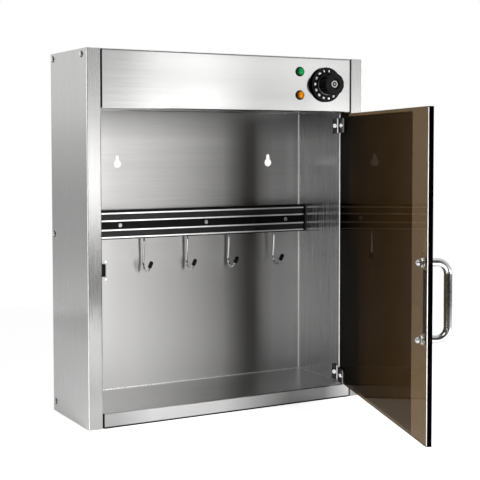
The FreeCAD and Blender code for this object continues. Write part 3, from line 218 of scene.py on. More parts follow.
def brushed(name, grain, base, roughness, anisotropy, tone=0.05, metallic=1.0, patches=()):
    """Sheet steel with its brush lines along x or z.

    A patch is ((axis, from, to), ..., level). It grows from none to full between the two places
    on each axis, and where it is full the steel has its base colour times the level. The patches
    are painted light and shade.
    """
    m = Mat(name)
    fine = {"x": (9, 1500, 1500), "z": (1500, 1500, 9)}[grain]
    broad = {"x": (2.5, 70, 70), "z": (70, 70, 2.5)}[grain]
    lines = m.noise(fine, 2.0)
    streaks = m.noise(broad, 4.0, 0.6)
    dark = tuple(c * (1 - tone) for c in base)
    light = tuple(min(1, c * (1 + tone)) for c in base)
    near = m.ramp(lines, [(0.3, dark), (0.7, light)])
    far = m.ramp(streaks, [(0.3, dark), (0.7, light)])
    colour = m.mix(0.4, near, far)
    at = m.axes() if patches else None
    for *ramps, level in patches:
        share = None
        for axis, start, end in ramps:
            if start < end:
                grown = m.to_range(at[axis], 0, 1, start, end)
            else:
                grown = m.to_range(at[axis], 1, 0, end, start)
            share = grown if share is None else m.calc("MULTIPLY", share, grown)
        colour = m.mix(share, colour, (*(min(1, c * level) for c in base), 1))
    m.link(colour, m.b.inputs["Base Color"])
    m.link(m.to_range(lines, roughness * 0.92, roughness * 1.08), m.b.inputs["Roughness"])
    m.bump(lines, 0.05, 0.0001)
    m.set(Metallic=metallic, Anisotropic=anisotropy)
    tangent = m.node("ShaderNodeTangent", direction_type="RADIAL", axis={"x": "X", "z": "Z"}[grain])
    m.link(tangent.outputs["Tangent"], m.b.inputs["Tangent"])
    return m.m


def metal(name, base, roughness, wear=0.03, scale=220):
    """Plain metal with slight smudges and micro-scratches."""
    m = Mat(name)
    cloud = m.noise((scale,) * 3, 4.0, 0.6)
    dark = tuple(c * (1 - wear) for c in base)
    m.link(m.ramp(cloud, [(0.35, dark), (0.65, base)]), m.b.inputs["Base Color"])
    m.link(m.to_range(cloud, roughness * 0.7, roughness * 1.4), m.b.inputs["Roughness"])
    m.set(Metallic=1.0)
    m.bump(m.noise((scale * 8,) * 3, 1.0), 0.04, 0.00005)
    return m.m


def plastic(name, base, roughness, grain=0.1, scale=1800, spec=0.5):
    """Moulded plastic with a faint texture."""
    m = Mat(name)
    cloud = m.noise((scale / 12,) * 3, 3.0, 0.6)
    dark = tuple(c * 0.85 for c in base)
    light = tuple(min(1, c * 1.12 + 0.002) for c in base)
    m.link(m.ramp(cloud, [(0.35, dark), (0.65, light)]), m.b.inputs["Base Color"])
    m.link(m.to_range(cloud, roughness * 0.85, roughness * 1.2), m.b.inputs["Roughness"])
    m.set(Specular_IOR_Level=spec)
    m.bump(m.noise((scale,) * 3, 1.0), grain, 0.0001)
    return m.m


def lens(name, base, glow, centre):
    """Coloured pilot lens: facets in several tones that paint their reflections, a painted highlight up and
    left, and a painted shade at the rim.
    """
    m = Mat(name)
    flat, radius = m.about(centre)
    slant = m.node("ShaderNodeVectorMath", operation="DOT_PRODUCT")
    slant.inputs[1].default_value = (-0.7, 0, 0.7)
    m.link(flat, slant.inputs[0])
    cells = m.node("ShaderNodeTexVoronoi")
    cells.inputs["Scale"].default_value = 330
    m.link(flat, cells.inputs["Vector"])
    tone = m.node("ShaderNodeSeparateXYZ")
    m.link(cells.outputs["Color"], tone.inputs[0])
    # Painted light: the facets' tones paint their reflections, rim is a painted shade at the edge, and side
    # a painted highlight up and left.
    facet_reflections = m.to_range(tone.outputs["X"], 0.15, 1.5, 0, 1)
    rim = m.to_range(radius, 1.0, 0.1, 0.0040, 0.0072)
    side = m.to_range(slant.outputs["Value"], 0.55, 1.35, -0.005, 0.005)
    level = m.calc("MULTIPLY", m.calc("MULTIPLY", facet_reflections, rim), side)
    colour = m.mix(level, (0.004, 0.004, 0.003, 1), (*base, 1))
    m.link(colour, m.b.inputs["Base Color"])
    m.link(colour, m.b.inputs["Emission Color"])
    m.link(m.to_range(tone.outputs["Y"], 0.08, 0.2, 0, 1), m.b.inputs["Roughness"])
    m.set(Emission_Strength=glow, Specular_IOR_Level=0.22)
    return m.m


def tinted(name, tint, spread, shade=None):
    """See-through tinted sheet; shade is (from y, to y, level), a painted shade that darkens it between the
    two.
    """
    m = Mat(name)
    cloud = m.noise((9, 9, 9), 2.0)
    dark = tuple(c * (1 - spread) for c in tint)
    colour = m.ramp(cloud, [(0.3, dark), (0.7, tint)])
    if shade:
        start, end, level = shade
        low = tuple(c * level for c in tint) + (1,)
        colour = m.mix(m.to_range(m.axes()["Y"], 0, 1, start, end), colour, low)
    m.link(colour, m.b.inputs["Base Color"])
    m.set(Transmission_Weight=1.0, IOR=1.09, Roughness=0.0)
    return m.m


def satin(name, base, roughness, metallic, glint=0.0):
    """Bright satin trim, part metal and part diffuse; glint is a glow that paints a highlight on polished
    edges in the shade.
    """
    m = Mat(name)
    cloud = m.noise((300, 300, 300), 3.0)
    dark = tuple(c * 0.93 for c in base)
    m.link(m.ramp(cloud, [(0.35, dark), (0.65, base)]), m.b.inputs["Base Color"])
    m.link(m.to_range(cloud, roughness * 0.85, roughness * 1.15), m.b.inputs["Roughness"])
    m.b.inputs["Emission Color"].default_value = (*base, 1)
    m.set(Metallic=metallic, Emission_Strength=glint)
    return m.m


def lines_on_black(name, base, roughness, metallic, levels, half):
    """Bright satin lines along x on black: levels are their heights, and half is half their width."""
    m = Mat(name)
    at = m.axes()
    nearest = None
    for z in levels:
        gap = m.calc("ABSOLUTE", m.calc("SUBTRACT", at["Z"], z))
        nearest = gap if nearest is None else m.calc("MINIMUM", nearest, gap)
    off = m.to_range(nearest, 0, 1, half - 0.0001, half + 0.0001)
    m.link(m.mix(off, (*base, 1), (0.006, 0.006, 0.006, 1)), m.b.inputs["Base Color"])
    m.link(m.to_range(off, metallic, 0, 0, 1), m.b.inputs["Metallic"])
    cloud = m.noise((300, 300, 300), 3.0)
    m.link(m.to_range(cloud, roughness * 0.85, roughness * 1.15), m.b.inputs["Roughness"])
    m.set(Specular_IOR_Level=0.15)
    return m.m


def disc_with_rings(name, centre, base, light, bands):
    """Dark plastic with light rings about a line along y: bands are (inner, outer) radii."""
    m = Mat(name)
    radius = m.about(centre)[1]
    top = bands[-1][1] * 1.4
    edge = 0.00012
    stops = []
    for inner, outer in bands:
        if inner > 0:
            stops += [((inner - edge) / top, base), ((inner + edge) / top, light)]
        stops += [((outer - edge) / top, light), ((outer + edge) / top, base)]
    rings = m.ramp(m.to_range(radius, 0, 1, 0, top), stops)
    cloud = m.noise((500, 500, 500), 3.0)
    m.link(m.mix(m.to_range(cloud, 0.0, 0.15), rings, (0.02, 0.02, 0.02, 1)), m.b.inputs["Base Color"])
    m.link(m.to_range(cloud, 0.25, 0.4), m.b.inputs["Roughness"])
    return m.m


def paint(obj, material):
    """Puts a material in every slot of a CAD object."""
    for s in obj.material_slots:
        s.material = material


# Tones in the steel. They stand for reflections and shade in the photo. They lie on the object
# itself, in metres, so they stay in place from other sides and under other light.
INSIDE = ("Y", 0.0823, 0.0818)
# Painted shade inside the back: darker towards the bottom, darker under the ceiling, and a dark upright
# band.
BACK_PAINTED_SHADE = [
    (INSIDE, ("Z", 0.33, 0.22), 0.86),
    (INSIDE, ("Z", 0.455, 0.505), 0.5),
    (INSIDE, ("X", 0.065, 0.115), ("X", 0.170, 0.130), 0.40),
]
STILE = ("Y", -0.0815, -0.0822)
FLANK = ("Y", -0.0822, -0.0815)
# Painted reflections on the left stile and its flank: brighter in the upper middle and at the foot, darker
# lower down, and a brighter lower flank.
LEFT_SIDE_PAINTED_LIGHT = [
    (STILE, ("Z", 0.27, 0.33), ("Z", 0.53, 0.47), 1.2),
    (STILE, ("Z", 0.11, 0.17), ("Z", 0.26, 0.21), 0.75),
    (STILE, ("Z", 0.06, 0.03), 1.2),
    (FLANK, ("Z", 0.19, 0.13), 1.35),
]
# Painted shade on the right inner wall: darker under the ceiling, and near black on a strip at its front
# edge, where shade falls behind the stile.
WALL_PAINTED_SHADE = [
    (("Z", 0.455, 0.505), 0.5),
    (("X", 0.2302, 0.2308), 0.03),
]
# Painted shade: the right stile's return is near black.
STILE_RETURN_PAINTED_SHADE = [
    (("X", 0.2362, 0.2358), ("Y", -0.0818, -0.0812), 0.1),
]
SILL = ("Y", -0.0805, -0.0815)
# Painted light on the sill: brighter over all, darker at the left end, a dark band of painted shade towards
# the right, and a near-black line along its foot as a painted contact shadow.
SILL_PAINTED_LIGHT = [
    (SILL, 1.22),
    (SILL, ("X", -0.15, -0.21), 0.84),
    (SILL, ("X", -0.02, 0.11), ("X", 0.24, 0.18), 0.33),
    (SILL, ("Z", 0.0030, 0.0020), 0.01),
]
# Painted reflections on the header: darker low down on the right, brighter along the top.
HEADER_PAINTED_LIGHT = [
    (("X", -0.03, 0.04), ("X", 0.19, 0.14), ("Z", 0.56, 0.53), 0.82),
    (("Z", 0.56, 0.585), ("X", -0.19, -0.13), 1.15),
]

# Steel
STEEL = (0.60, 0.60, 0.595)
steel_v = brushed("steel_upright_grain", "z", STEEL, 0.26, 0.92)
steel_h = brushed("steel_level_grain", "x", STEEL, 0.2, 0.8)
steel_back = brushed("steel_level_grain_soft", "x", STEEL, 0.3, 0.9, tone=0.09, metallic=0.58,
                     patches=BACK_PAINTED_SHADE)
steel_left = brushed("steel_upright_grain_left", "z", STEEL, 0.26, 0.92, patches=LEFT_SIDE_PAINTED_LIGHT)
# The right inner wall and the floor pan take lighter copies of the same steel: painted light.
steel_wall = brushed("steel_upright_grain_wall", "z", grey(0.8), 0.26, 0.92, patches=WALL_PAINTED_SHADE)
steel_stile = brushed("steel_upright_grain_stile", "z", STEEL, 0.26, 0.92,
                      patches=STILE_RETURN_PAINTED_SHADE)
steel_floor = brushed("steel_level_grain_floor", "x", grey(0.78), 0.3, 0.7, tone=0.08,
                      patches=SILL_PAINTED_LIGHT)
steel_header = brushed("steel_level_grain_fine", "x", STEEL, 0.10, 0.8, patches=HEADER_PAINTED_LIGHT)
bright = metal("bright_steel_fine", (0.72, 0.72, 0.71), 0.16)
chrome = metal("chrome_polished", (0.86, 0.86, 0.86), 0.07)

# Plastics, lenses and sheets
LENS_X, LENS_Y = 0.1293, -0.09
GREEN_Z, AMBER_Z = 0.5746, 0.5344
black = plastic("black_moulded", (0.004, 0.004, 0.0042), 0.6, spec=0.1)
ferrite = plastic("ferrite_dark", (0.014, 0.014, 0.015), 0.5, spec=0.3)
rubber = plastic("rubber_black", (0.005, 0.005, 0.005), 0.55, spec=0.15)
knob_black = plastic("knob_black", (0.003, 0.003, 0.0032), 0.34, spec=0.08)
knob_silver = metal("knob_silver", (0.7, 0.7, 0.7), 0.2)
green = lens("lens_green", (0.0, 0.16, 0.036), 0.1, (LENS_X, LENS_Y, GREEN_Z))
amber = lens("lens_amber", (0.50, 0.155, 0.001), 0.1, (LENS_X, LENS_Y, AMBER_Z))
panel_tint = tinted("panel_smoked", (0.138, 0.094, 0.052), 0.05)
# The film's shade is a painted shade, darkest towards the hinge.
film_tint = tinted("film_smoked", (0.26, 0.215, 0.145), 0.05, shade=(-0.38, -0.10, 0.11))

# Pieces behind the header and the ceiling
tube_white = plastic("tube_glass_white", (0.75, 0.77, 0.8), 0.12)
tube_metal = metal("tube_cap_metal", (0.7, 0.7, 0.72), 0.3)
mirror = metal("reflector_bright", (0.8, 0.8, 0.8), 0.18)
white = plastic("white_moulded", (0.72, 0.72, 0.7), 0.4)
ballast = plastic("ballast_paint", (0.45, 0.46, 0.45), 0.45)
timer_plastic = plastic("timer_case", (0.6, 0.58, 0.52), 0.4)
switch_red = plastic("switch_red", (0.45, 0.02, 0.015), 0.35)

# Bar, hinges, screws and trim. The two glint trims glow a little, as painted highlights.
STRIP_Z = (0.3320, 0.3192, 0.3034, 0.2908)
strip_white = lines_on_black("strip_satin", (0.9, 0.9, 0.89), 0.38, 0.35, STRIP_Z, 0.0012)
strike_dark = metal("strike_coated", (0.06, 0.05, 0.038), 0.45)
leaf_steel = metal("hinge_leaf_steel", grey(0.22), 0.3)
screw_white = satin("screw_satin", (0.95, 0.95, 0.94), 0.3, 0.4)
screw_grey = satin("screw_grey", grey(0.5), 0.3, 0.4)
glint_white = satin("edge_glint", (0.95, 0.95, 0.94), 0.3, 0.4, glint=0.6)
highlight_glint_white = satin("bead_satin", (0.9, 0.9, 0.89), 0.3, 0.5, glint=0.25)
# Black for the catch poles and dark joints, and painted shade in the rings and lines round screws and
# hinges.
black_and_shade = plastic("black_and_painted_shade", grey(0.003), 0.6, spec=0.1)
edge_white = satin("edge_satin", (0.9, 0.9, 0.89), 0.3, 0.5)
ring_grey = satin("ring_grey", (0.28, 0.28, 0.28), 0.4, 0.2)
print_white = plastic("print_white", (0.8, 0.8, 0.79), 0.5)

# The knob's insert: a dot and a ring about the timer's axis
TIMER = (0.1810, -0.0825, 0.5532)
INSERT_BANDS = [(0.0, 0.0010), (0.0046, 0.0056)]
insert = disc_with_rings("knob_insert_rings", TIMER, (0.006, 0.006, 0.006), (0.34, 0.34, 0.34),
                         INSERT_BANDS)

# Materials on the CAD objects, by the object's own slot or for a whole node
BY_SLOT = {
    "bright_steel": bright, "chrome": chrome, "tinted_panel": panel_tint, "tint_film": film_tint,
    "black_plastic": black, "ferrite": ferrite, "black_rubber": rubber, "knob_plastic": knob_black,
    "knob_metal": knob_silver, "green_lens": green, "amber_lens": amber, "tube_glass": tube_white,
    "tube_metal": tube_metal, "reflector": mirror, "white_plastic": white, "ballast_paint": ballast,
    "timer_plastic": timer_plastic, "switch_red": switch_red, "stainless": steel_h,
}
BY_NODE = {
    "left_side_panel": steel_left, "right_side_panel": steel_stile, "header_panel": steel_header,
    "back_panel": steel_back, "floor_pan": steel_floor,
    "left_inner_wall": steel_v, "right_inner_wall": steel_wall,
    # The hinges' pins and screws glow: painted highlights.
    "hinge_wall_leaves": leaf_steel, "hinge_clamps": leaf_steel, "hinge_pins": glint_white,
    "hinge_wall_screws": glint_white, "clamp_screws": glint_white,
    "catch_poles": black_and_shade, "catch_screws": screw_white, "strike_strip": strike_dark,
    "bar_strips": strip_white, "bar_screws": screw_grey, "knob_insert": insert,
}
for name, obj in nodes.items():
    if name in BY_NODE:
        paint(obj, BY_NODE[name])
        continue
    for s in obj.material_slots:
        key = s.material.name.split(".")[0] if s.material else ""
        if key in BY_SLOT:
            s.material = BY_SLOT[key]
        else:
            print("NO SLOT", name, key)

# Places that the scene's own pieces share, in metres
SIDE_X = 0.258
LEAF_X = 0.2252
HINGE_Z = (0.483, 0.0397)
HINGE_SCREW_Y = -0.0485
CHAMBER_X = 0.2264
CHAMBER_BACK_Y = 0.0809
CHAMBER_FLOOR_Z = 0.0246
PROUD = 0.00002
# the door's pivot, and its directions at rest, 72 degrees open
PIVOT_X, PIVOT_Y = 0.2293, -0.0675
DOOR_COS, DOOR_SIN = math.cos(math.radians(72)), math.sin(math.radians(72))
ALONG = Vector((-DOOR_COS, -DOOR_SIN, 0))
OUTWARD = Vector((DOOR_SIN, -DOOR_COS, 0))


def on_door(s, t, z):
    """A point of the open door: s from the pivot towards the free edge, t out from its outer face."""
    return (PIVOT_X - DOOR_COS * s + DOOR_SIN * t, PIVOT_Y - DOOR_SIN * s - DOOR_COS * t, z)


# Helpers for the scene's own pieces
def add_mesh(name, verts, faces, material, body, smooth=False):
    """A new piece that rides on a body."""
    mesh = bpy.data.meshes.new(name)
    mesh.from_pydata(verts, [], faces)
    mesh.materials.append(material)
    if smooth:
        mesh.shade_smooth()
    obj = bpy.data.objects.new(name, mesh)
    bpy.context.scene.collection.objects.link(obj)
    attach(obj, body)
    return obj


def add_group(name, parts, material, body):
    """A new piece of several parts, each given by its points and faces."""
    all_verts, all_faces = [], []
    for verts, faces in parts:
        base = len(all_verts)
        all_verts += verts
        all_faces += [tuple(base + i for i in f) for f in faces]
    return add_mesh(name, all_verts, all_faces, material, body)


def block(low, high):
    """Points and faces of an upright box."""
    verts = [(x, y, z) for x in (low[0], high[0]) for y in (low[1], high[1]) for z in (low[2], high[2])]
    return verts, [(0, 1, 3, 2), (4, 6, 7, 5), (0, 4, 5, 1), (2, 3, 7, 6), (0, 2, 6, 4), (1, 5, 7, 3)]


def bar_along(p, q, radius, sides=10):
    """Points and faces of a round bar from p to q."""
    p, q = Vector(p), Vector(q)
    way = (q - p).normalized()
    u = way.orthogonal().normalized()
    v = way.cross(u)
    ring = [u * math.cos(math.tau * i / sides) + v * math.sin(math.tau * i / sides) for i in range(sides)]
    verts = [end + r * radius for end in (p, q) for r in ring]
    faces = [(i, (i + 1) % sides, sides + (i + 1) % sides, sides + i) for i in range(sides)]
    faces += [tuple(range(sides - 1, -1, -1)), tuple(range(sides, 2 * sides))]
    return verts, faces


def hoop_faces(count):
    """Faces of a closed hoop with four corners at each of its steps."""
    faces = []
    for i in range(count):
        j = (i + 1) % count
        for k in range(4):
            n = (k + 1) % 4
            faces.append((4 * i + k, 4 * i + n, 4 * j + n, 4 * j + k))
    return faces


def washer(centre, axis, inner, outer, thick, count=40):
    """Points and faces of a flat ring: it starts at the centre and grows along the axis."""
    axis = Vector(axis).normalized()
    u = axis.orthogonal().normalized()
    v = axis.cross(u)
    verts = []
    for i in range(count):
        way = u * math.cos(math.tau * i / count) + v * math.sin(math.tau * i / count)
        for radius, rise_by in ((inner, 0), (outer, 0), (outer, thick), (inner, thick)):
            verts.append(Vector(centre) + way * radius + axis * rise_by)
    return verts, hoop_faces(count)


def centres_of(name):
    """The centre of each separate solid of a node."""
    mesh = nodes[name].data
    head = list(range(len(mesh.vertices)))

    def root(i):
        while head[i] != i:
            head[i] = head[head[i]]
            i = head[i]
        return i

    for edge in mesh.edges:
        head[root(edge.vertices[0])] = root(edge.vertices[1])
    groups = {}
    for v in mesh.vertices:
        groups.setdefault(root(v.index), []).append(v.co)
    found = []
    for points in groups.values():
        low = Vector([min(p[k] for p in points) for k in range(3)])
        high = Vector([max(p[k] for p in points) for k in range(3)])
        found.append((low + high) / 2)
    return found


# Dark rings under the screw heads in the case's sides and in the hinges: painted shade round the heads
IN_SIDES_FROM_X = 0.24
WASHER_T = 0.0003
rings = []
for centre in centres_of("case_screws"):
    if abs(centre.x) > IN_SIDES_FROM_X:
        side = 1 if centre.x > 0 else -1
        place = ((SIDE_X + PROUD) * side, centre.y, centre.z)
        rings.append(washer(place, (side, 0, 0), 0.0039, 0.0052, WASHER_T))
add_group("case_screw_shade", rings, black_and_shade, "cabinet")
rings = []
for z in HINGE_Z:
    rings.append(washer((LEAF_X - PROUD, HINGE_SCREW_Y, z), (-1, 0, 0), 0.0035, 0.0060, WASHER_T))
add_group("hinge_screw_shade", rings, black_and_shade, "cabinet")

# Polished front edge of the right inner wall; its glow is a painted highlight
verts, faces = block((0.2271, -0.0591, 0.0275), (0.2306, -0.0585, 0.5025))
add_mesh("wall_edge", verts, faces, glint_white, "cabinet")

# Bright bars that paint the highlights on the stiles' corners, and the dark joints beside the sill and the
# header
CORNER_X, CORNER_Y = 0.2577, -0.0822
JOINTS_X = (-0.2344, 0.2319)
JOINT_W = 0.0026
JOINT_Y = (-0.0827, -0.072)
SILL_Z, HEADER_Z = (0.0012, 0.0236), (0.5075, 0.598)
corners = [bar_along((x, CORNER_Y, 0.001), (x, CORNER_Y, 0.599), 0.0005, 8) for x in (-CORNER_X, CORNER_X)]
add_group("stile_edges", corners, screw_white, "cabinet")
joints = []
for x in JOINTS_X:
    for low, high in (SILL_Z, HEADER_Z):
        joints.append(block((x, JOINT_Y[0], low), (x + JOINT_W, JOINT_Y[1], high)))
add_group("dark_joints", joints, black_and_shade, "cabinet")

# The catch's face plate and its two rivets
CATCH_FACE_Y = (-0.0581, -0.0560)
RIVET_X = -0.2185
RIVETS_Z = (0.2625, 0.2345)
verts, faces = block((-0.2187, CATCH_FACE_Y[0], 0.2372), (-0.2170, CATCH_FACE_Y[1], 0.2598))
add_mesh("catch_plate", verts, faces, ring_grey, "cabinet")
rivets = []
for z in RIVETS_Z:
    rivets.append(bar_along((RIVET_X, CATCH_FACE_Y[1], z), (RIVET_X, CATCH_FACE_Y[0], z), 0.0017, 16))
add_group("catch_rivets", rivets, screw_white, "cabinet")

# Dark lines of painted shade round the hinges' wall leaves, and their bright front edges, which glow as
# painted highlights
OUTLINE_X = 0.2250
OUTLINE_Y = (-0.0565, -0.0401)
OUTLINE_HALF = 0.0129
LEAF_EDGE_X, LEAF_EDGE_Y = 0.2246, -0.0560
lines, edges = [], []
for z in HINGE_Z:
    low, high = z - OUTLINE_HALF, z + OUTLINE_HALF
    for y in OUTLINE_Y:
        lines.append(bar_along((OUTLINE_X, y, low), (OUTLINE_X, y, high), 0.0005, 6))
    for end in (low, high):
        lines.append(bar_along((OUTLINE_X, OUTLINE_Y[0], end), (OUTLINE_X, OUTLINE_Y[1], end), 0.0005, 6))
    edges.append(bar_along((LEAF_EDGE_X, LEAF_EDGE_Y, low), (LEAF_EDGE_X, LEAF_EDGE_Y, high), 0.0009, 12))
add_group("hinge_outlines", lines, black_and_shade, "cabinet")
add_group("leaf_edges", edges, glint_white, "cabinet")

# Dark lines of painted shade round the hinges' clamps, and their bright ribs, which glow as painted
# highlights, just proud of the clamps' inner plates
CLAMP_HALF = 0.0125
CLAMP_NEAR = 0.0095
PIVOT = Vector((PIVOT_X, PIVOT_Y, 0))
clamp_points = [v.co - PIVOT for v in nodes["hinge_clamps"].data.vertices]
CLAMP_T = min(p.dot(OUTWARD) for p in clamp_points) - 0.0003
CLAMP_S = max(p.dot(ALONG) for p in clamp_points)
RIB_S = CLAMP_S - 0.0012
lines, ribs = [], []
for z in HINGE_Z:
    low, high = z - CLAMP_HALF, z + CLAMP_HALF
    for s in (CLAMP_NEAR, CLAMP_S + 0.0004):
        lines.append(bar_along(on_door(s, CLAMP_T, low), on_door(s, CLAMP_T, high), 0.0006, 6))
    for end in (low, high):
        lines.append(bar_along(on_door(CLAMP_NEAR, CLAMP_T, end), on_door(CLAMP_S, CLAMP_T, end), 0.0006, 6))
    ribs.append(bar_along(on_door(RIB_S, CLAMP_T, low), on_door(RIB_S, CLAMP_T, high), 0.0006, 8))
    ribs.append(bar_along(on_door(0.0110, CLAMP_T, z), on_door(CLAMP_S - 0.0020, CLAMP_T, z), 0.0007, 8))
add_group("clamp_outlines", lines, black_and_shade, "door")
add_group("clamp_ribs", ribs, glint_white, "door")

# Bright bars down the chamber's rear corners and along its foot: painted highlights on its folds, glowing a
# little down the corners
CHAMBER_FRONT_Y = -0.0560
for side, x in (("left", -CHAMBER_X), ("right", CHAMBER_X)):
    verts, faces = bar_along((x, CHAMBER_BACK_Y, 0.0245), (x, CHAMBER_BACK_Y, 0.5055), 0.0009)
    add_mesh("corner_highlight_" + side, verts, faces, highlight_glint_white, "cabinet", smooth=True)
rear_left = (-CHAMBER_X, CHAMBER_BACK_Y, CHAMBER_FLOOR_Z)
rear_right = (CHAMBER_X, CHAMBER_BACK_Y, CHAMBER_FLOOR_Z)
front_right = (CHAMBER_X, CHAMBER_FRONT_Y, CHAMBER_FLOOR_Z)
highlight_bars = [bar_along(rear_left, rear_right, 0.0008), bar_along(front_right, rear_right, 0.0007)]
add_group("foot_highlights", highlight_bars, edge_white, "cabinet")

# The film, as in the frame but for a hair of air before the panel
FILM_AIR = 0.00008
film_source = nodes["door_film"].data
reach = [v.co.dot(OUTWARD) for v in film_source.vertices]
outer_face = max(reach) - 0.00005
film_verts = []
for v, at in zip(film_source.vertices, reach):
    film_verts.append(v.co - OUTWARD * (FILM_AIR if at > outer_face else 0))
film_faces = [tuple(p.vertices) for p in film_source.polygons]
film = add_mesh("tint_film", film_verts, film_faces, film_tint, "door")
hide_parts("door_film")

# Pale bar on the door's free edge: a painted highlight on its arris
ARRIS_S, ARRIS_T = 0.4609, -0.0076
verts, faces = bar_along(on_door(ARRIS_S, ARRIS_T, 0.0285), on_door(ARRIS_S, ARRIS_T, 0.5015), 0.0006)
add_mesh("door_arris", verts, faces, edge_white, "door", smooth=True)

# Ring round the foot of the knob's grip
DIAL_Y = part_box("timer_knob")[1].y - 0.0028
RING_STEPS = 64
RING_INNER, RING_OUTER = 0.0169, 0.0175
RING_BACK_Y, RING_FRONT_Y = DIAL_Y + 0.0002, DIAL_Y - 0.0003
RING_SECTION = (
    (RING_INNER, RING_BACK_Y), (RING_INNER, RING_FRONT_Y),
    (RING_OUTER, RING_FRONT_Y), (RING_OUTER, RING_BACK_Y),
)
ring_verts = []
for i in range(RING_STEPS):
    a = math.tau * i / RING_STEPS
    for radius, y in RING_SECTION:
        ring_verts.append((TIMER[0] + radius * math.cos(a), y, TIMER[2] + radius * math.sin(a)))
add_mesh("dial_ring", ring_verts, hoop_faces(RING_STEPS), ring_grey, "timer_control")

# Numbers on the dial, 0 to 60
NUMBER_COUNT = 13
NUMBER_STEP = 5
NUMBER_SIZE = 0.0044
NUMBER_R = 0.0238
DEGREES_APART = 25
DEGREES_AT_ZERO = 11
number_verts, number_faces = [], []
for step in range(NUMBER_COUNT):
    text = bpy.data.curves.new("number", "FONT")
    text.body = str(step * NUMBER_STEP)
    text.size = NUMBER_SIZE
    text.extrude = 0.0001
    text.offset = 0.00004
    text.align_x = "CENTER"
    text.align_y = "CENTER"
    holder = bpy.data.objects.new("number", text)
    bpy.context.scene.collection.objects.link(holder)
    bpy.context.view_layer.update()
    shape = bpy.data.meshes.new_from_object(holder)
    turn = math.radians(step * DEGREES_APART - DEGREES_AT_ZERO)
    base = len(number_verts)
    for vert in shape.vertices:
        u, v = vert.co.x, vert.co.y + NUMBER_R
        x = u * math.cos(turn) - v * math.sin(turn)
        z = u * math.sin(turn) + v * math.cos(turn)
        number_verts.append((TIMER[0] + x, DIAL_Y - 0.0001 - vert.co.z, TIMER[2] + z))
    number_faces += [tuple(base + i for i in poly.vertices) for poly in shape.polygons]
    bpy.data.objects.remove(holder)
    bpy.data.meshes.remove(shape)
    bpy.data.curves.remove(text)
add_mesh("dial_numbers", number_verts, number_faces, print_white, "timer_control")

# Floor: it glows towards the camera, through the tinted door and, less, in the steel
FLOOR_R = 1.3
FLOOR_STEPS = 96
FLOOR_DROP = 0.0002
rim = []
for i in range(FLOOR_STEPS):
    a = math.tau * i / FLOOR_STEPS
    rim.append((FLOOR_R * math.cos(a), FLOOR_R * math.sin(a), 0))
floor_mesh = bpy.data.meshes.new("floor")
floor_mesh.from_pydata(rim, [], [tuple(range(FLOOR_STEPS))])
floor = bpy.data.objects.new("floor", floor_mesh)
bpy.context.scene.collection.objects.link(floor)
floor.location.z = -FLOOR_DROP
fm = Mat("floor_pale")
cloud = fm.noise((3, 3, 3), 2.0)
fm.link(fm.ramp(cloud, [(0.3, grey(0.80)), (0.7, grey(0.82))]), fm.b.inputs["Base Color"])
fm.set(Roughness=0.9, Specular_IOR_Level=0.1)
path = fm.node("ShaderNodeLightPath").outputs
clear = fm.calc("MAXIMUM", path["Is Camera Ray"], path["Is Transmission Ray"])
seen = fm.calc("MAXIMUM", clear, fm.calc("MULTIPLY", path["Is Glossy Ray"], FLOOR_MIRRORED))
fm.b.inputs["Emission Color"].default_value = (1, 1, 1, 1)
fm.link(fm.calc("MULTIPLY", seen, FLOOR_GLOW), fm.b.inputs["Emission Strength"])
floor_mesh.materials.append(fm.m)

# World: plain white where the camera or the tinted door looks at it, and AMBIENT for diffuse light.
# Only mirroring surfaces see the studio: a bright stretch to the right of the front, another behind
# on the left, and a level band of light in front.
world = bpy.data.worlds.new("studio")
bpy.context.scene.world = world
world.use_nodes = True
sky = Tree(world.node_tree)


def profile(value, low, high, stops, top):
    """A smooth profile of levels up to top over a range: stops are (value, level)."""
    place = sky.to_range(value, 0, 1, low, high)
    c = sky.node("ShaderNodeValToRGB")
    c.color_ramp.interpolation = "EASE"
    e = c.color_ramp.elements
    while len(e) < len(stops):
        e.new(0.5)
    for el, (at, lev) in zip(e, stops):
        el.position = (at - low) / (high - low)
        el.color = (lev / top, lev / top, lev / top, 1)
    sky.link(place, c.inputs["Fac"])
    return sky.calc("MULTIPLY", c.outputs["Color"], top)


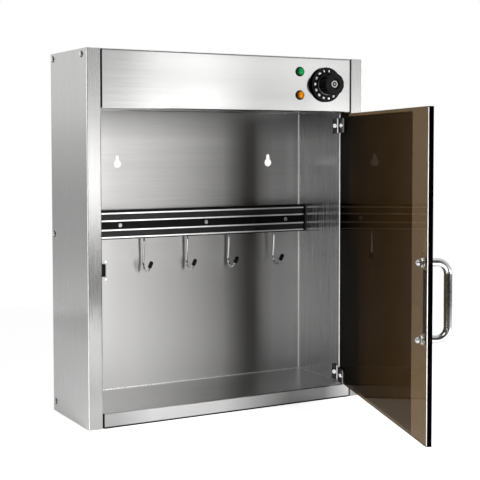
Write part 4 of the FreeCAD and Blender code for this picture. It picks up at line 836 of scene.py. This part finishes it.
IN_DEGREES = 180 / math.pi
split = sky.node("ShaderNodeSeparateXYZ")
sky.link(sky.node("ShaderNodeTexCoord").outputs["Generated"], split.inputs[0])
way = split.outputs
turned = sky.calc("ARCTAN2", way["X"], sky.calc("MULTIPLY", way["Y"], -1))
heading = sky.calc("MULTIPLY", turned, IN_DEGREES)
rise = sky.calc("MULTIPLY", sky.calc("ARCSINE", way["Z"]), IN_DEGREES)
around = profile(heading, -180, 180, AROUND, AROUND_TOP)
front_band = profile(rise, -90, 90, FRONT_BAND, FRONT_TOP)
rear_band = profile(rise, -90, 90, REAR_BAND, REAR_TOP)
rear = sky.to_range(way["Y"], 0, 1, -BAND_FADE, BAND_FADE)
from_front = sky.calc("MULTIPLY", front_band, sky.calc("SUBTRACT", 1.0, rear))
band = sky.calc("ADD", from_front, sky.calc("MULTIPLY", rear_band, rear))
studio = sky.calc("MULTIPLY", around, band)
path = sky.node("ShaderNodeLightPath").outputs
seen_plain = sky.calc("MAXIMUM", path["Is Camera Ray"], path["Is Transmission Ray"])
not_plain = sky.calc("SUBTRACT", 1.0, seen_plain)
mirrored = sky.calc("MULTIPLY", path["Is Glossy Ray"], not_plain)
diffuse = sky.calc("SUBTRACT", not_plain, mirrored)
plain_or_studio = sky.calc("ADD", seen_plain, sky.calc("MULTIPLY", mirrored, studio))
level = sky.calc("ADD", plain_or_studio, sky.calc("MULTIPLY", diffuse, AMBIENT))
background = world.node_tree.nodes["Background"]
background.inputs["Color"].default_value = (1, 1, 1, 1)
sky.link(level, background.inputs["Strength"])


# Lamps
def soft_light(name, place, aim, size, power):
    """A rectangular area lamp at a place, turned to what it aims at."""
    data = bpy.data.lights.new(name, "AREA")
    data.shape = "RECTANGLE"
    data.size, data.size_y = size
    data.energy = power
    light = bpy.data.objects.new(name, data)
    bpy.context.scene.collection.objects.link(light)
    light.location = place
    light.rotation_euler = (Vector(aim) - Vector(place)).to_track_quat("-Z", "Y").to_euler()
    return light


soft_light("key", (-2.2, -1.7, 2.5), (0, 0, 0.3), (1.6, 1.6), KEY_POWER)
soft_light("fill", (2.4, -1.6, 1.6), (0, 0, 0.3), (1.5, 1.5), FILL_POWER)
front = soft_light("front", (0.27, -2.1, 0.33), (0.0, 0.08, 0.3), (0.65, 0.46), FRONT_POWER)
# the front lamp isn't mirrored in the steel, nor seen through the door
front.visible_glossy = False
front.visible_transmission = False

scene_view = bpy.context.scene.view_settings
scene_view.view_transform = "Standard"
